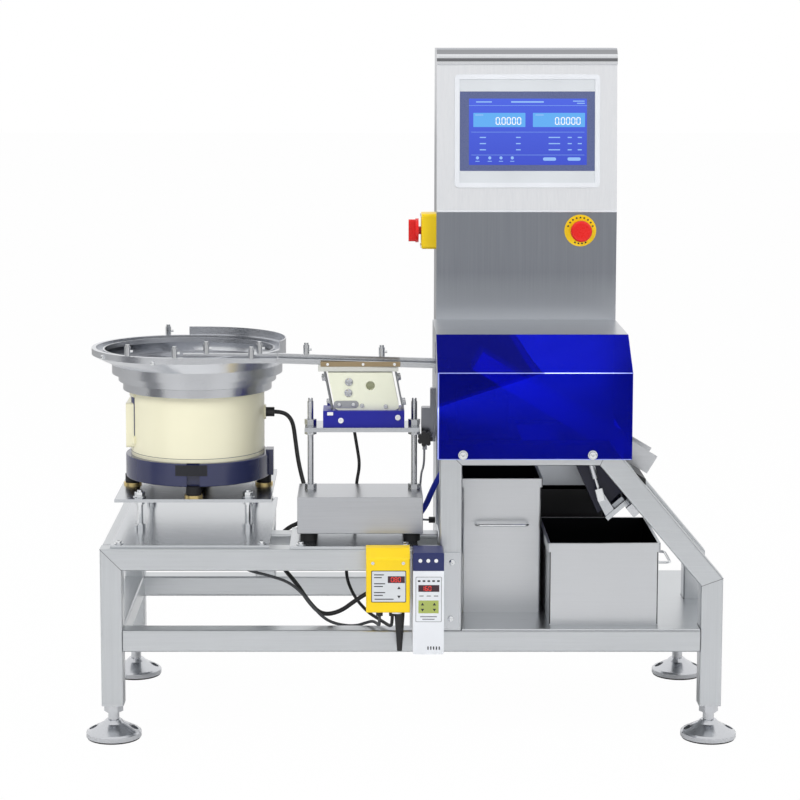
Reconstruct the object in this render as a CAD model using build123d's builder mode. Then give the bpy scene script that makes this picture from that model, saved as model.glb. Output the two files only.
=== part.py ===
from build123d import *
import os
from math import cos, hypot, radians, sin, tan

# A checkweigher for small parts, fed by a vibratory bowl and a straight vibratory track.
# +X is to the operator's right, +Y away from the operator, +Z up. The origin is on the floor,
# in the middle of the footprint. Depths are measured back from the front face of the frame.

# Frame
frame_length = 1120.0
frame_depth = 460.0
tube = 40.0
tube_corner = 4.0
leg_bottom = 63.0
lower_rail_z = 163.0
table_rail_z = 312.0
portal_rail_z = 504.0
slope_angle = 50.0
right_leg_top = 298.7
table_length = 300.0
portal_x = 50.0
portal_spacing = 224.0
seat_gap = 0.3

# Levelling feet
pad_radius = 50.0
pad_rim = 8.0
pad_top_radius = 14.0
pad_height = 34.0
pad_chamfer = 3.0
pad_collar = 6.0
sole_inset = 2.0
lug_recess = 4.0
sole_height = 3.0
stem_radius = 10.0
nut_flats = 30.0
nut_height = 14.0
lug_spacing = 72.0
lug_hole_radius = 4.5

# Shelf and bins
shelf_sheet = 3.0
notch_clearance = 1.0
bin_sheet = 2.0
bin_rim = 16.0
bin_rim_proud = 3.0
front_bin_width = 198.0
front_bin_depth = 226.0
front_bin_height = 151.0
front_bin_x = 348.0
front_bin_front = 30.0
tall_bin_width = 145.0
tall_bin_depth = 165.0
tall_bin_height = 251.0
tall_bin_x = 168.0
tall_bin_front = 125.0
rear_bin_depth = 118.0
rear_bin_height = 196.0
rear_bin_inset = 2.0
handle_rod = 5.0
handle_bend = 9.0
side_handle_span = 90.0
side_handle_reach = 30.0
side_handle_height = 100.0
tall_handle_span = 96.0
tall_handle_reach = 22.0
tall_handle_height = 168.0

# Weighing station
housing_sheet = 2.0
housing_left = 45.0
housing_right = 392.0
deck_z = 730.0
cover_sheet = 5.0
cover_bottom = 516.0
cover_crease_z = 672.0
cover_slant_depth = 82.0
rail_to_cover = 1.0
cover_land = 0.5
cover_bend = 1.0
track_port_clearance = 10.0
track_port_height = 56.0
cover_to_housing = 2.0

weigher_x = 132.0
weigher_depth = 140.0
bracket_length = 130.0
bracket_depth = 220.0
bracket_sheet = 4.0
cell_length = 90.0
cell_depth = 110.0
cell_height = 62.0
pan_length = 50.0
pan_depth = 60.0
pan_height = 14.0
pan_corner = 6.0

# Discharge chute
chute_angle = 31.0
chute_width = 90.0
chute_height = 37.0
chute_sheet = 2.0
chute_length = 374.0
chute_end_x = 442.0
chute_end_z = 486.0
chute_depth = 150.0

# Column with the control head
column_left = 52.0
column_width = 341.0
column_depth = 148.0
column_inset = 10.0
column_front = frame_depth - column_depth - column_inset
head_top = 1243.0
head_height = 307.0
crease_z = head_top - head_height
lip_height = 32.0
lip_proud = 7.0
lip_crown = 14.0
lip_edge = 2.0
lip_corner = 5.0
head_tilt = 5.0
bay_height = 204.0
bay_depth = 126.0
bay_wall = 12.0
bay_clearance = 6.0

# Operator controls
screen_width = 274.0
screen_height = 213.0
screen_corner = 8.0
screen_frame = 9.0
screen_proud = 6.0
screen_x = 223.0
screen_z = head_top - 156.0
stop_x = 324.0
stop_z = crease_z - 36.0
stop_ring_radius = 30.0
stop_ring_height = 3.0
stop_button_radius = 20.0
stop_shaft_radius = 11.0
stop_travel = 6.0
control_gap = 8.0
switch_box_width = 55.0
switch_box_height = 68.0
switch_box_proud = 28.0
switch_z = crease_z - 40.0
switch_depth = 352.0
knob_radius = 23.0
knob_gap = 5.0
knob_base = 6.0
knob_grip = 13.0

# Bowl feeder
bowl_x = -401.0
bowl_depth = 275.0
table_sheet = 5.0
table_plate_length = 286.0
table_plate_inset = 10.0
table_plate_shift = 2.0
pillar_radius = 6.0
pillar_height = 55.0
pillar_spacing_x = 200.0
pillar_spacing_y = 245.0
pillar_foot_radius = 10.0
pillar_foot_height = 10.0
pillar_cap_radius = 9.0
pillar_cap_height = 8.0
drive_plate_width = 289.0
drive_plate_depth = 300.0
drive_plate_sheet = 6.0
foot_circle = 125.0
disc_radius = 17.0
disc_height = 4.0
buffer_radius = 14.0
buffer_height = 16.0
base_radius = 136.5
base_height = 43.0
base_edge = 2.0
window_width = 62.0
window_height = 24.0
window_recess = 12.0
base_tab_width = 32.0
base_tab_reach = 7.0
base_tab_height = 49.0
drum_radius = 126.5
drum_height = 123.0
drum_boss = 26.0
drum_boss_reach = 3.0
gland_rise = 76.0
side_panel_width = 104.0
side_panel_height = 84.0
side_panel_reach = 5.0
side_panel_rise = 16.0
flange_radius = 140.5
flange_height = 15.0
gasket_height = 2.0
gasket_inset = 3.0
bowl_wall = 2.5
bowl_step_radius = 149.0
bowl_step_height = 12.0
bowl_side_radius = 161.0
bowl_side_height = 32.0
ledge_rise = 2.0
bowl_dome = 8.0
rim_radius = 168.0
rim_shift = 31.0
rim_width = 24.0
rim_sheet = 3.0
rim_height = 12.0
rim_bar = 8.0
rim_lip = 3.0
rim_lip_height = 6.0
skirt_height = 18.0
band_height = 16.0
band_sheet = 2.0
band_left = -428.0
band_front = 220.0
collar_radius = 5.5
collar_height = 17.0
collar_neck_radius = 4.0
collar_neck = 4.0
collar_screw_radius = 2.5
collar_screw_reach = 10.0
rim_collar_turns = (103.0, -122.0)
rim_collar_x = -431.0
front_collar_x = -291.0
back_collar_x = (-374.0, -277.0)
track_collar_x = (-191.0, -53.0)
spiral_width = 20.0
spiral_sheet = 2.5
spiral_turns = 2.0
spiral_sections = 20

# Linear feeder
feeder_x = -104.0
feeder_depth = 120.0
feeder_plate_length = 230.0
feeder_plate_depth = 166.0
pad_gap_height = 15.0
weight_length = 227.0
weight_depth = 132.0
weight_height = 67.0
weight_shift_x = 11.5
weight_shift_y = 21.0
weight_edge = 1.5
weight_pad_radius = 15.0
weight_pad_inset = 20.0
rod_radius = 5.5
rod_length = 163.0
rod_spacing = 190.0
rod_shift_x = 15.5
rod_clearance = 0.2
rod_nut_flats = 19.0
rod_nut_height = 10.0
carrier_length = 209.0
carrier_depth = 80.0
carrier_sheet = 8.0
carrier_z = 551.0
blue_base_shift = 18.0
blue_base_length = 148.0
blue_base_depth = 66.0
blue_base_height = 30.0
block_length = 117.0
block_depth = 46.0
block_height = 69.0
block_lean = 14.0
block_corner = 8.0
block_hole_radius = 8.4
block_hole_depth = 20.0
block_hole_x = -74.0
block_hole_z = 634.0
spring_sheet = 3.0
spring_width = 40.0
spring_gap = 6.0
spring_rise = 2.0
top_mount_length = 146.0
top_mount_shift = 10.0
feeder_plate_inset = 2.0
track_start = -243.0
track_end = 70.0
track_slope = 1.8
track_z = 682.0
track_joint = 1.5
track_width = 26.0
track_base = 8.5
groove_drop = 3.0
front_bar = 8.0
back_bar = 7.0
back_bar_height = 7.0

# Reject station
gate_pivot_x = 397.0
gate_pivot_z = 419.0
gate_pin_radius = 4.0
gate_knuckle_radius = 8.0
gate_angle = 41.0
gate_length = 56.0
gate_beyond_pivot = 8.0
gate_above_pivot = 3.0
gate_sheet = 8.0
gate_front = 70.0
gate_back = 188.0
gate_pad = 4.0
gate_pad_end = 10.0
gate_pad_side = 4.0
gate_tab_root = 20.0
gate_tab_head = 8.0
ear_drop = 14.0
ear_width = 22.0
ear_sheet = 8.0
stud_plate = 30.0
stud_plate_sheet = 5.0
stud_cap = 2.0
pin_along = 30.0
pin_above = 44.7
cylinder_depth = 78.0
trunnion_distance = 95.0
trunnion_radius = 4.0
rod_angle = 15.7
eye_radius = 8.0
eye_sheet = 10.0
cylinder_radius = 6.0
cylinder_start = 12.0
cylinder_end = 60.0
cylinder_rod_radius = 2.5
clevis_width = 20.0
clevis_slot = 10.0
clevis_pin_radius = 3.0
clevis_pin_play = 1.8
running_gap = 0.05
funnel_sheet = 3.0
funnel_front = 92.0
funnel_back = 188.0
funnel_top = 510.0
funnel_left_top = 292.0
funnel_left_foot = (342.0, 399.0)
funnel_right_top = 327.0
funnel_right_foot = (388.0, 442.0)

# Controls on the front rail
mount_sheet = 3.0
mount_width = 89.4
mount_height = 139.0
mount_x = 41.3
mount_z = 208.0
controller_reach = 57.0
controller_corner = 3.0
stepped_width = 78.0
stepped_height = 110.0
stepped_x = -43.0
stepped_z = 250.0
stepped_top_depth = 22.0
stepped_top_drop = 12.0
tall_width = 55.0
tall_height = 184.0
tall_x = 28.5
tall_z = 175.5

# Air regulator
regulator_width = 26.0
regulator_depth = 24.0
regulator_height = 74.0
regulator_front = 80.0
regulator_z = 546.0
star_boss_radius = 9.0
star_x = 25.0
star_z = 541.0
star_radius = 14.0
star_lobes = 7
star_height = 12.0
star_stem_height = 22.0
star_stem_radius = 4.0
star_shaft_radius = 4.0
star_shaft_depth = 8.0
star_lobe_radius = 4.0
valve_width = 10.0
valve_depth = 16.0
valve_height = 48.0
valve_z = 582.0
regulator_corner = 3.0

# Cable glands and hose fittings
gland_radius = 9.0
gland_length = 16.0
small_gland_radius = 6.0
small_gland_length = 12.0
boot_length = 64.0
boot_tip_radius = 4.5
boot_x = -22.0
controller_gland_depth = -28.0

# Cables and hoses: X, depth behind the frame's front face, Z along each route
run_share = 0.45
drum_cable_diameter = 8.0
drum_cable_route = [
    (-255.5, 275, 557),
    (-240.5, 275, 556.5),
    (-227.5, 274, 548.5),
    (-219.5, 270, 534),
    (-215, 257, 503),
    (-209, 228, 468),
    (-198, 195, 432),
    (-186, 187, 396),
    (-198, 188, 364),
    (-232, 188, 350),
    (-256, 184, 318),
    (-240, 158, 286),
    (-209, 120, 260),
    (-187, 88, 234),
    (-163, 66, 215),
    (-130, 60, 222),
    (-100, 54, 246),
    (-77, 49, 262),
    (-64, 34, 266.5),
    (-62, 12, 267),
]
feeder_cable_diameter = 6.0
feeder_cable_route = [
    (-106, 165, 574),
    (-106, 181, 573),
    (-105.5, 194, 561),
    (-104, 197, 536),
    (-98, 191, 502),
    (-93, 187, 470),
    (-100, 186, 436),
    (-101, 188, 390),
    (-105, 187, 345),
    (-115, 178, 304),
    (-120, 154, 268),
    (-104, 120, 236),
    (-79, 84, 216),
    (-57, 48, 211),
    (-43, 16, 210),
    (-37, -8, 213.5),
    (-35.5, -22, 223),
    (-35, -28, 238),
]
sensor_cable_diameter = 5.5
sensor_cable_route = [
    (-330, 70, 340),
    (-328, 69.5, 324),
    (-318, 68, 310),
    (-296, 66, 298),
    (-262, 64, 290),
    (-222, 62, 278),
    (-192, 58, 252),
    (-172, 51, 226),
    (-152, 48, 209),
    (-128, 48, 201),
    (-101, 48, 199),
    (-82, 49, 205),
    (-70, 37, 211.5),
    (-62, 14, 213),
    (-58.5, -10, 215),
    (-58, -24, 224),
    (-58, -28, 238),
]
blue_hose_diameter = 11.0
blue_hose_route = [
    (82, 150, 536),
    (81.5, 151, 514),
    (73, 156, 486),
    (56, 164, 457),
    (41, 175, 424),
    (28, 189, 388),
    (0, 212, 350),
    (-29, 242, 324),
    (-40, 277, 310),
    (-27, 311, 303),
    (3, 331, 300),
    (40, 332, 300),
]
air_tube_diameter = 4.0
air_tube_route = [
    (24, 80, 518.8),
    (24, 80.5, 503),
    (23.5, 96, 488),
    (22, 122, 474),
    (21, 152, 464),
    (20, 184, 440),
    (19, 206, 408),
    (16, 236, 380),
    (13, 272, 358),
    (12, 306, 343),
    (20, 326, 338),
    (40, 331, 336),
]

# Heights and places that follow
pad_reach = frame_depth - tube / 2 + pad_radius
origin_depth = (pad_reach - controller_reach - mount_sheet) / 2


def at_depth(distance):
    """Y of a point at this distance behind the frame's front face."""
    return distance - origin_depth


half_length = frame_length / 2
leg_x = half_length - tube / 2
leg_inner = half_length - tube
lower_top = lower_rail_z + tube
table_top = table_rail_z + tube
portal_top = portal_rail_z + tube
slope_tan = tan(radians(slope_angle))
slope_drop = tube / cos(radians(slope_angle))
knee_outer_x = half_length - (portal_top - right_leg_top) / slope_tan
knee_inner_x = half_length - (portal_rail_z + slope_drop - right_leg_top) / slope_tan
right_leg_inner = right_leg_top + tube * slope_tan - slope_drop
front_y = at_depth(0)
back_y = at_depth(frame_depth)
portal_y = at_depth(portal_spacing)
feeder_rail_y = at_depth(feeder_plate_depth - tube)
table_right = -half_length + table_length
shelf_top = lower_top + shelf_sheet
portal_right = portal_x + tube

os.makedirs("parts", exist_ok=True)


# Legs: two mitred at the table, one mitred to the sloping member, one under the lower rails
def front_sketch(y):
    """Plane facing the operator at this Y, with X to the right and Z up."""
    return Plane.XZ.offset(-y)


with BuildPart() as legs:
    with BuildSketch(front_sketch(front_y)):
        with BuildLine():
            Polyline(
                (-half_length, leg_bottom),
                (-leg_inner, leg_bottom),
                (-leg_inner, table_rail_z),
                (-half_length, table_top),
                close=True,
            )
        make_face()
        with BuildLine():
            Polyline(
                (half_length, leg_bottom),
                (leg_inner, leg_bottom),
                (leg_inner, right_leg_inner),
                (half_length, right_leg_top),
                close=True,
            )
        make_face()
    extrude(amount=-tube)
    with BuildSketch(front_sketch(back_y)):
        with BuildLine():
            Polyline(
                (-half_length, leg_bottom),
                (-leg_inner, leg_bottom),
                (-leg_inner, table_rail_z),
                (-half_length, table_top),
                close=True,
            )
        make_face()
        with Locations((leg_x, (leg_bottom + lower_top) / 2)):
            Rectangle(tube, lower_top - leg_bottom)
    extrude(amount=tube)
    fillet(legs.edges().filter_by(Axis.Z), radius=tube_corner)
legs.part.label = "legs"
export_step(legs.part, "parts/legs.step")

# Rails along the machine: lower pair, table pair, the one behind the linear feeder, portals' tops
with BuildPart() as long_rails:
    with BuildSketch(front_sketch(front_y)):
        with Locations((0, lower_rail_z + tube / 2)):
            Rectangle(2 * leg_inner, tube)
        with BuildLine():
            Polyline(
                (-half_length, table_top),
                (-leg_inner, table_rail_z),
                (portal_x, table_rail_z),
                (portal_x, table_top),
                close=True,
            )
        make_face()
    extrude(amount=-tube)
    with BuildSketch(front_sketch(back_y)):
        with Locations((0, lower_rail_z + tube / 2)):
            Rectangle(2 * leg_inner, tube)
        with BuildLine():
            Polyline(
                (-half_length, table_top),
                (-leg_inner, table_rail_z),
                (table_right, table_rail_z),
                (table_right, table_top),
                close=True,
            )
        make_face()
    extrude(amount=tube)
    with BuildSketch(front_sketch(feeder_rail_y)):
        with Locations(((table_right + portal_x) / 2, table_rail_z + tube / 2)):
            Rectangle(portal_x - table_right, tube)
    extrude(amount=-tube)
    for rail_y in (front_y, portal_y):
        with BuildSketch(front_sketch(rail_y)):
            with BuildLine():
                Polyline(
                    (portal_x, portal_top),
                    (portal_right, portal_rail_z),
                    (knee_inner_x, portal_rail_z),
                    (knee_outer_x, portal_top),
                    close=True,
                )
            make_face()
        extrude(amount=-tube)
    fillet(long_rails.edges().filter_by(Axis.X), radius=tube_corner)
long_rails.part.label = "long_rails"
export_step(long_rails.part, "parts/long_rails.step")

# Rails across the machine
cross_span = frame_depth - 2 * tube
with BuildPart() as cross_rails:
    with BuildSketch(front_sketch(front_y + tube)):
        with Locations(
            (-leg_x, lower_rail_z + tube / 2),
            (portal_x + tube / 2, lower_rail_z + tube / 2),
            (leg_x, lower_rail_z + tube / 2),
            (-leg_x, table_rail_z + tube / 2),
            (table_right - tube / 2, table_rail_z + tube / 2),
        ):
            Rectangle(tube, tube)
    extrude(amount=-cross_span)
    with BuildSketch(front_sketch(front_y + tube)):
        with Locations((portal_x + tube / 2, table_rail_z + tube / 2)):
            Rectangle(tube, tube)
    extrude(amount=-(portal_spacing - tube))
    fillet(cross_rails.edges().filter_by(Axis.Y), radius=tube_corner)
cross_rails.part.label = "cross_rails"
export_step(cross_rails.part, "parts/cross_rails.step")

# Posts: one under the table's far corner, two portal posts, one at the rear slope's foot
with BuildPart() as posts:
    with BuildSketch(front_sketch(back_y - tube)):
        with Locations((table_right - tube / 2, (lower_top + table_rail_z) / 2)):
            Rectangle(tube, table_rail_z - lower_top)
    extrude(amount=-tube)
    for post_y in (front_y, portal_y):
        with BuildSketch(front_sketch(post_y)):
            with BuildLine():
                Polyline(
                    (portal_x, lower_top),
                    (portal_right, lower_top),
                    (portal_right, portal_rail_z),
                    (portal_x, portal_top),
                    close=True,
                )
            make_face()
        extrude(amount=-tube)
    with BuildSketch(front_sketch(portal_y)):
        with BuildLine():
            Polyline(
                (half_length, lower_top),
                (leg_inner, lower_top),
                (leg_inner, right_leg_inner),
                (half_length, right_leg_top),
                close=True,
            )
        make_face()
    extrude(amount=-tube)
    fillet(posts.edges().filter_by(Axis.Z), radius=tube_corner)
posts.part.label = "posts"
export_step(posts.part, "parts/posts.step")

# Sloping members from the portals down to the right legs
slope_axis = Axis((0, 0, 0), (cos(radians(slope_angle)), 0, -sin(radians(slope_angle))))
with BuildPart() as sloping_members:
    for slope_y in (front_y, portal_y):
        with BuildSketch(front_sketch(slope_y)):
            with BuildLine():
                Polyline(
                    (knee_outer_x, portal_top),
                    (knee_inner_x, portal_rail_z),
                    (leg_inner, right_leg_inner),
                    (half_length, right_leg_top),
                    close=True,
                )
            make_face()
        extrude(amount=-tube)
    fillet(sloping_members.edges().filter_by(slope_axis), radius=tube_corner)
sloping_members.part.label = "sloping_members"
export_step(sloping_members.part, "parts/sloping_members.step")

# Levelling feet
foot_places = [
    (x, y)
    for x in (-leg_x, leg_x)
    for y in (front_y + tube / 2, back_y - tube / 2)
]
with BuildPart() as foot_soles:
    with BuildSketch(Plane.XY):
        with Locations(*foot_places):
            Circle(pad_radius - sole_inset)
        with Locations(*foot_places):
            with GridLocations(lug_spacing, 0, 2, 1):
                Circle(lug_hole_radius, mode=Mode.SUBTRACT)
    extrude(amount=sole_height)
foot_soles.part.label = "foot_soles"
export_step(foot_soles.part, "parts/foot_soles.step")

with BuildPart() as foot_pad:
    with BuildSketch(Plane.XZ):
        with BuildLine():
            Polyline(
                (0, sole_height),
                (pad_radius, sole_height),
                (pad_radius, sole_height + pad_rim),
                (pad_radius - pad_chamfer, sole_height + pad_rim + pad_chamfer),
                (pad_top_radius + pad_collar, pad_height - pad_collar),
                (pad_top_radius, pad_height),
                (0, pad_height),
                close=True,
            )
        make_face()
    revolve(axis=Axis.Z)
    with Locations((0, 0, pad_height)):
        with GridLocations(lug_spacing, 0, 2, 1):
            CounterBoreHole(
                lug_hole_radius, lug_hole_radius + lug_recess, pad_height - sole_height - pad_rim
            )
    with Locations((0, 0, pad_height)):
        Hole(stem_radius + running_gap, depth=pad_height / 2)

with BuildPart() as foot_pads:
    with Locations(*foot_places):
        add(foot_pad.part)
foot_pads.part.label = "foot_pads"
export_step(foot_pads.part, "parts/foot_pads.step")

with BuildPart() as foot_stems:
    with BuildSketch(Plane.XY.offset(pad_height / 2)):
        with Locations(*foot_places):
            Circle(stem_radius)
    extrude(amount=leg_bottom - pad_height / 2)
    with BuildSketch(Plane.XY.offset(leg_bottom - nut_height)):
        with Locations(*foot_places):
            RegularPolygon(nut_flats / 2, 6, major_radius=False)
    extrude(amount=nut_height)
foot_stems.part.label = "foot_stems"
export_step(foot_stems.part, "parts/foot_stems.step")

# Shelf, notched round the posts that stand beside and in it
shelf_left = portal_x
shelf_width = half_length - shelf_left
with BuildPart() as shelf:
    with BuildSketch(Plane.XY.offset(lower_top)):
        with Locations((shelf_left + shelf_width / 2, (front_y + back_y) / 2)):
            Rectangle(shelf_width, frame_depth)
        notch = tube + 2 * notch_clearance
        with Locations(
            (portal_x + tube / 2, front_y + tube / 2),
            (leg_x, front_y + tube / 2),
            (portal_x + tube / 2, portal_y + tube / 2),
            (leg_x, portal_y + tube / 2),
        ):
            Rectangle(notch, notch, mode=Mode.SUBTRACT)
    extrude(amount=shelf_sheet)
shelf.part.label = "shelf"
export_step(shelf.part, "parts/shelf.step")


def open_bin(x, front, width, length, height, bottom):
    """Open-topped sheet bin with a turned-out rim, standing at bottom."""
    base = Plane((x, at_depth(front) + length / 2, bottom))
    with BuildPart() as sheet_bin:
        with BuildSketch(base):
            RectangleRounded(width, length, 2 * bin_sheet)
        extrude(amount=height)
        with BuildSketch(base.offset(height - bin_rim)):
            RectangleRounded(width + 2 * bin_rim_proud, length + 2 * bin_rim_proud, 2 * bin_sheet)
        extrude(amount=bin_rim)
        with BuildSketch(base.offset(bin_sheet)):
            RectangleRounded(width - 2 * bin_sheet, length - 2 * bin_sheet, bin_sheet)
        extrude(amount=height, mode=Mode.SUBTRACT)
    return sheet_bin


front_bin = open_bin(
    front_bin_x, front_bin_front, front_bin_width, front_bin_depth, front_bin_height, shelf_top
)
front_bin.part.label = "front_bin"
export_step(front_bin.part, "parts/front_bin.step")

tall_bin = open_bin(
    tall_bin_x, tall_bin_front, tall_bin_width, tall_bin_depth, tall_bin_height, shelf_top
)
tall_bin.part.label = "tall_bin"
export_step(tall_bin.part, "parts/tall_bin.step")

column_x = column_left + column_width / 2
rear_bin_width = column_width - 2 * (bay_wall + bay_clearance)
rear_bin = open_bin(
    column_x, column_front + rear_bin_inset, rear_bin_width, rear_bin_depth, rear_bin_height, shelf_top
)
rear_bin.part.label = "rear_bin"
export_step(rear_bin.part, "parts/rear_bin.step")

# Bow handles: on the right of the front bin, on the front of the tall bin
side_handle = Plane(
    (
        front_bin_x + front_bin_width / 2,
        at_depth(front_bin_front + front_bin_depth / 2),
        shelf_top + side_handle_height,
    ),
    x_dir=(0, 1, 0),
    z_dir=(0, 0, 1),
)
tall_handle = Plane(
    (tall_bin_x, at_depth(tall_bin_front), shelf_top + tall_handle_height),
    x_dir=(1, 0, 0),
    z_dir=(0, 0, 1),
)


def handle_bow(span, reach):
    """Centreline of a bow handle that stands out from its bin."""
    return FilletPolyline(
        (-span / 2, 0), (-span / 2, -reach), (span / 2, -reach), (span / 2, 0), radius=handle_bend
    )


with BuildPart() as bin_handles:
    with BuildLine(side_handle):
        side_bow = handle_bow(side_handle_span, side_handle_reach)
    with BuildSketch(Plane(side_bow @ 0, z_dir=side_bow % 0)):
        Circle(handle_rod / 2)
    sweep(path=side_bow)
    with BuildLine(tall_handle):
        tall_bow = handle_bow(tall_handle_span, tall_handle_reach)
    with BuildSketch(Plane(tall_bow @ 0, z_dir=tall_bow % 0)):
        Circle(handle_rod / 2)
    sweep(path=tall_bow)
bin_handles.part.label = "bin_handles"
export_step(bin_handles.part, "parts/bin_handles.step")

# Weighing station: housing walls under a deck, open in front and below
housing_width = housing_right - housing_left
housing_top = deck_z - housing_sheet
housing_back = at_depth(column_front)
with BuildPart() as housing:
    with BuildSketch(Plane.YZ.offset(housing_left)):
        with BuildLine():
            Polyline(
                (front_y, portal_top),
                (front_y, cover_crease_z - cover_to_housing),
                (at_depth(cover_slant_depth), deck_z),
                (housing_back, deck_z),
                (housing_back, portal_top),
                close=True,
            )
        make_face()
    extrude(amount=housing_width)
    with BuildSketch(Plane.YZ.offset(housing_left + housing_sheet)):
        with BuildLine():
            Polyline(
                (front_y, portal_top),
                (front_y, deck_z),
                (at_depth(cover_slant_depth), deck_z),
                (at_depth(cover_slant_depth), housing_top),
                (housing_back - housing_sheet, housing_top),
                (housing_back - housing_sheet, portal_top),
                close=True,
            )
        make_face()
    extrude(amount=housing_width - 2 * housing_sheet, mode=Mode.SUBTRACT)
    with BuildSketch(Plane.YZ.offset(housing_left)):
        with Locations((at_depth(feeder_depth), track_z)):
            Rectangle(track_width + 2 * track_port_clearance, track_port_height)
    extrude(amount=housing_sheet, mode=Mode.SUBTRACT)
housing.part.label = "housing"
export_step(housing.part, "parts/housing.step")

# Translucent cover: one bent sheet in front of the housing, screwed to the portal rail
cover_front = front_y - rail_to_cover - cover_sheet
with BuildPart() as cover:
    with BuildSketch(Plane.YZ.offset(housing_left)):
        with BuildLine():
            Polyline(
                (cover_front, cover_bottom),
                (cover_front, cover_crease_z),
                (at_depth(cover_slant_depth) - cover_sheet, deck_z),
                (at_depth(cover_slant_depth) - cover_land, deck_z),
                (cover_front + cover_sheet, cover_crease_z - cover_bend),
                (cover_front + cover_sheet, cover_bottom),
                close=True,
            )
        make_face()
    extrude(amount=housing_width)
cover.part.label = "cover"
export_step(cover.part, "parts/cover.step")

# Load cell block with its pan, on a bracket across the two portals
weigher_y = at_depth(weigher_depth)
with BuildPart() as load_cell:
    with BuildSketch(Plane((weigher_x, weigher_y, portal_top))):
        Rectangle(bracket_length, bracket_depth)
    extrude(amount=bracket_sheet)
    with BuildSketch(Plane((weigher_x, weigher_y, portal_top + bracket_sheet))):
        Rectangle(cell_length, cell_depth)
    extrude(amount=cell_height)
    with BuildSketch(Plane((weigher_x, weigher_y, portal_top + bracket_sheet + cell_height))):
        RectangleRounded(pan_length, pan_depth, pan_corner)
    extrude(amount=pan_height)
load_cell.part.label = "load_cell"
export_step(load_cell.part, "parts/load_cell.step")

# Discharge chute: a channel that slides the parts down to the right
chute_dir = Vector(cos(radians(chute_angle)), 0, -sin(radians(chute_angle)))
chute_end = Plane(
    (chute_end_x, at_depth(chute_depth), chute_end_z), x_dir=(0, 1, 0), z_dir=chute_dir
)
with BuildPart() as discharge_chute:
    with BuildSketch(chute_end):
        Rectangle(chute_width, chute_height)
        with Locations((0, chute_sheet)):
            Rectangle(chute_width - 2 * chute_sheet, chute_height, mode=Mode.SUBTRACT)
    extrude(amount=-chute_length)
discharge_chute.part.label = "discharge_chute"
export_step(discharge_chute.part, "parts/discharge_chute.step")

# Column: cabinet with an open bay below, slightly tilted screen panel and rolled top
column_y = at_depth(column_front)
column_back = column_y + column_depth
lip_bottom = head_top - lip_height
panel_back = (lip_bottom - crease_z) * tan(radians(head_tilt))
with BuildPart() as column:
    with BuildSketch(Plane.YZ.offset(column_left)):
        with BuildLine():
            Polyline(
                (column_y, shelf_top),
                (column_y, crease_z),
                (column_y + panel_back, lip_bottom),
                (column_y + panel_back - lip_proud, lip_bottom + lip_edge),
                (column_y + panel_back - lip_proud, head_top - lip_crown),
                (column_y + panel_back - lip_proud + lip_crown, head_top),
                (column_back, head_top),
                (column_back, shelf_top),
                close=True,
            )
        make_face()
    extrude(amount=column_width)
    lip_edges = column.edges().filter_by(Axis.X).filter_by_position(Axis.Z, head_top - lip_crown - 1, head_top)
    fillet(lip_edges, radius=lip_corner)
    with BuildSketch(front_sketch(column_y)):
        with Locations((column_x, shelf_top + bay_height / 2)):
            Rectangle(column_width - 2 * bay_wall, bay_height)
    extrude(amount=-bay_depth, mode=Mode.SUBTRACT)
    with Locations(front_sketch(column_y) * Location((stop_x, stop_z, 0))):
        Hole(stop_shaft_radius + 1, depth=stop_travel + 4)
column.part.label = "column"
export_step(column.part, "parts/column.step")

# Touch screen on the tilted panel
panel_dir = Vector(0, -cos(radians(head_tilt)), sin(radians(head_tilt)))
panel_y = column_y + (screen_z - crease_z) * tan(radians(head_tilt))
panel = Plane((screen_x, panel_y, screen_z), x_dir=(1, 0, 0), z_dir=panel_dir)
with BuildPart() as screen_bezel:
    with BuildSketch(panel):
        RectangleRounded(screen_width, screen_height, screen_corner)
        Rectangle(
            screen_width - 2 * screen_frame, screen_height - 2 * screen_frame, mode=Mode.SUBTRACT
        )
    extrude(amount=screen_proud)
screen_bezel.part.label = "screen_bezel"
export_step(screen_bezel.part, "parts/screen_bezel.step")

with BuildPart() as screen_glass:
    with BuildSketch(panel):
        Rectangle(screen_width - 2 * screen_frame, screen_height - 2 * screen_frame)
    extrude(amount=screen_proud - 1.5)
screen_glass.part.label = "screen_glass"
export_step(screen_glass.part, "parts/screen_glass.step")

# Emergency stop: ring on the panel, button with its shaft
stop_plane = Plane((stop_x, column_y, stop_z), x_dir=(1, 0, 0), z_dir=(0, -1, 0))
with BuildPart() as stop_ring:
    with BuildSketch(stop_plane):
        Circle(stop_ring_radius)
        Circle(stop_shaft_radius + seat_gap, mode=Mode.SUBTRACT)
    extrude(amount=stop_ring_height)
stop_ring.part.label = "stop_ring"
export_step(stop_ring.part, "parts/stop_ring.step")

stop_head = stop_ring_height + stop_travel + control_gap
with BuildPart() as stop_button:
    with BuildSketch(stop_plane.offset(-3)):
        Circle(stop_shaft_radius)
    extrude(amount=stop_head + 4)
    with BuildSketch(stop_plane.offset(stop_head)):
        Circle(stop_button_radius)
    extrude(amount=14)
    fillet(stop_button.edges().filter_by(GeomType.CIRCLE).group_by(Axis.Y)[0], radius=5)
stop_button.part.label = "stop_button"
export_step(stop_button.part, "parts/stop_button.step")

# Mains switch on the column's left side
switch_plane = Plane((column_left, at_depth(switch_depth), switch_z), x_dir=(0, -1, 0), z_dir=(-1, 0, 0))
with BuildPart() as switch_box:
    with BuildSketch(switch_plane):
        RectangleRounded(switch_box_width, switch_box_height, 6)
    extrude(amount=switch_box_proud)
    fillet(switch_box.faces().sort_by(Axis.X)[0].edges(), radius=3)
    with Locations(switch_plane.offset(switch_box_proud)):
        Hole(knob_radius / 3 + seat_gap, depth=8)
switch_box.part.label = "switch_box"
export_step(switch_box.part, "parts/switch_box.step")

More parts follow.
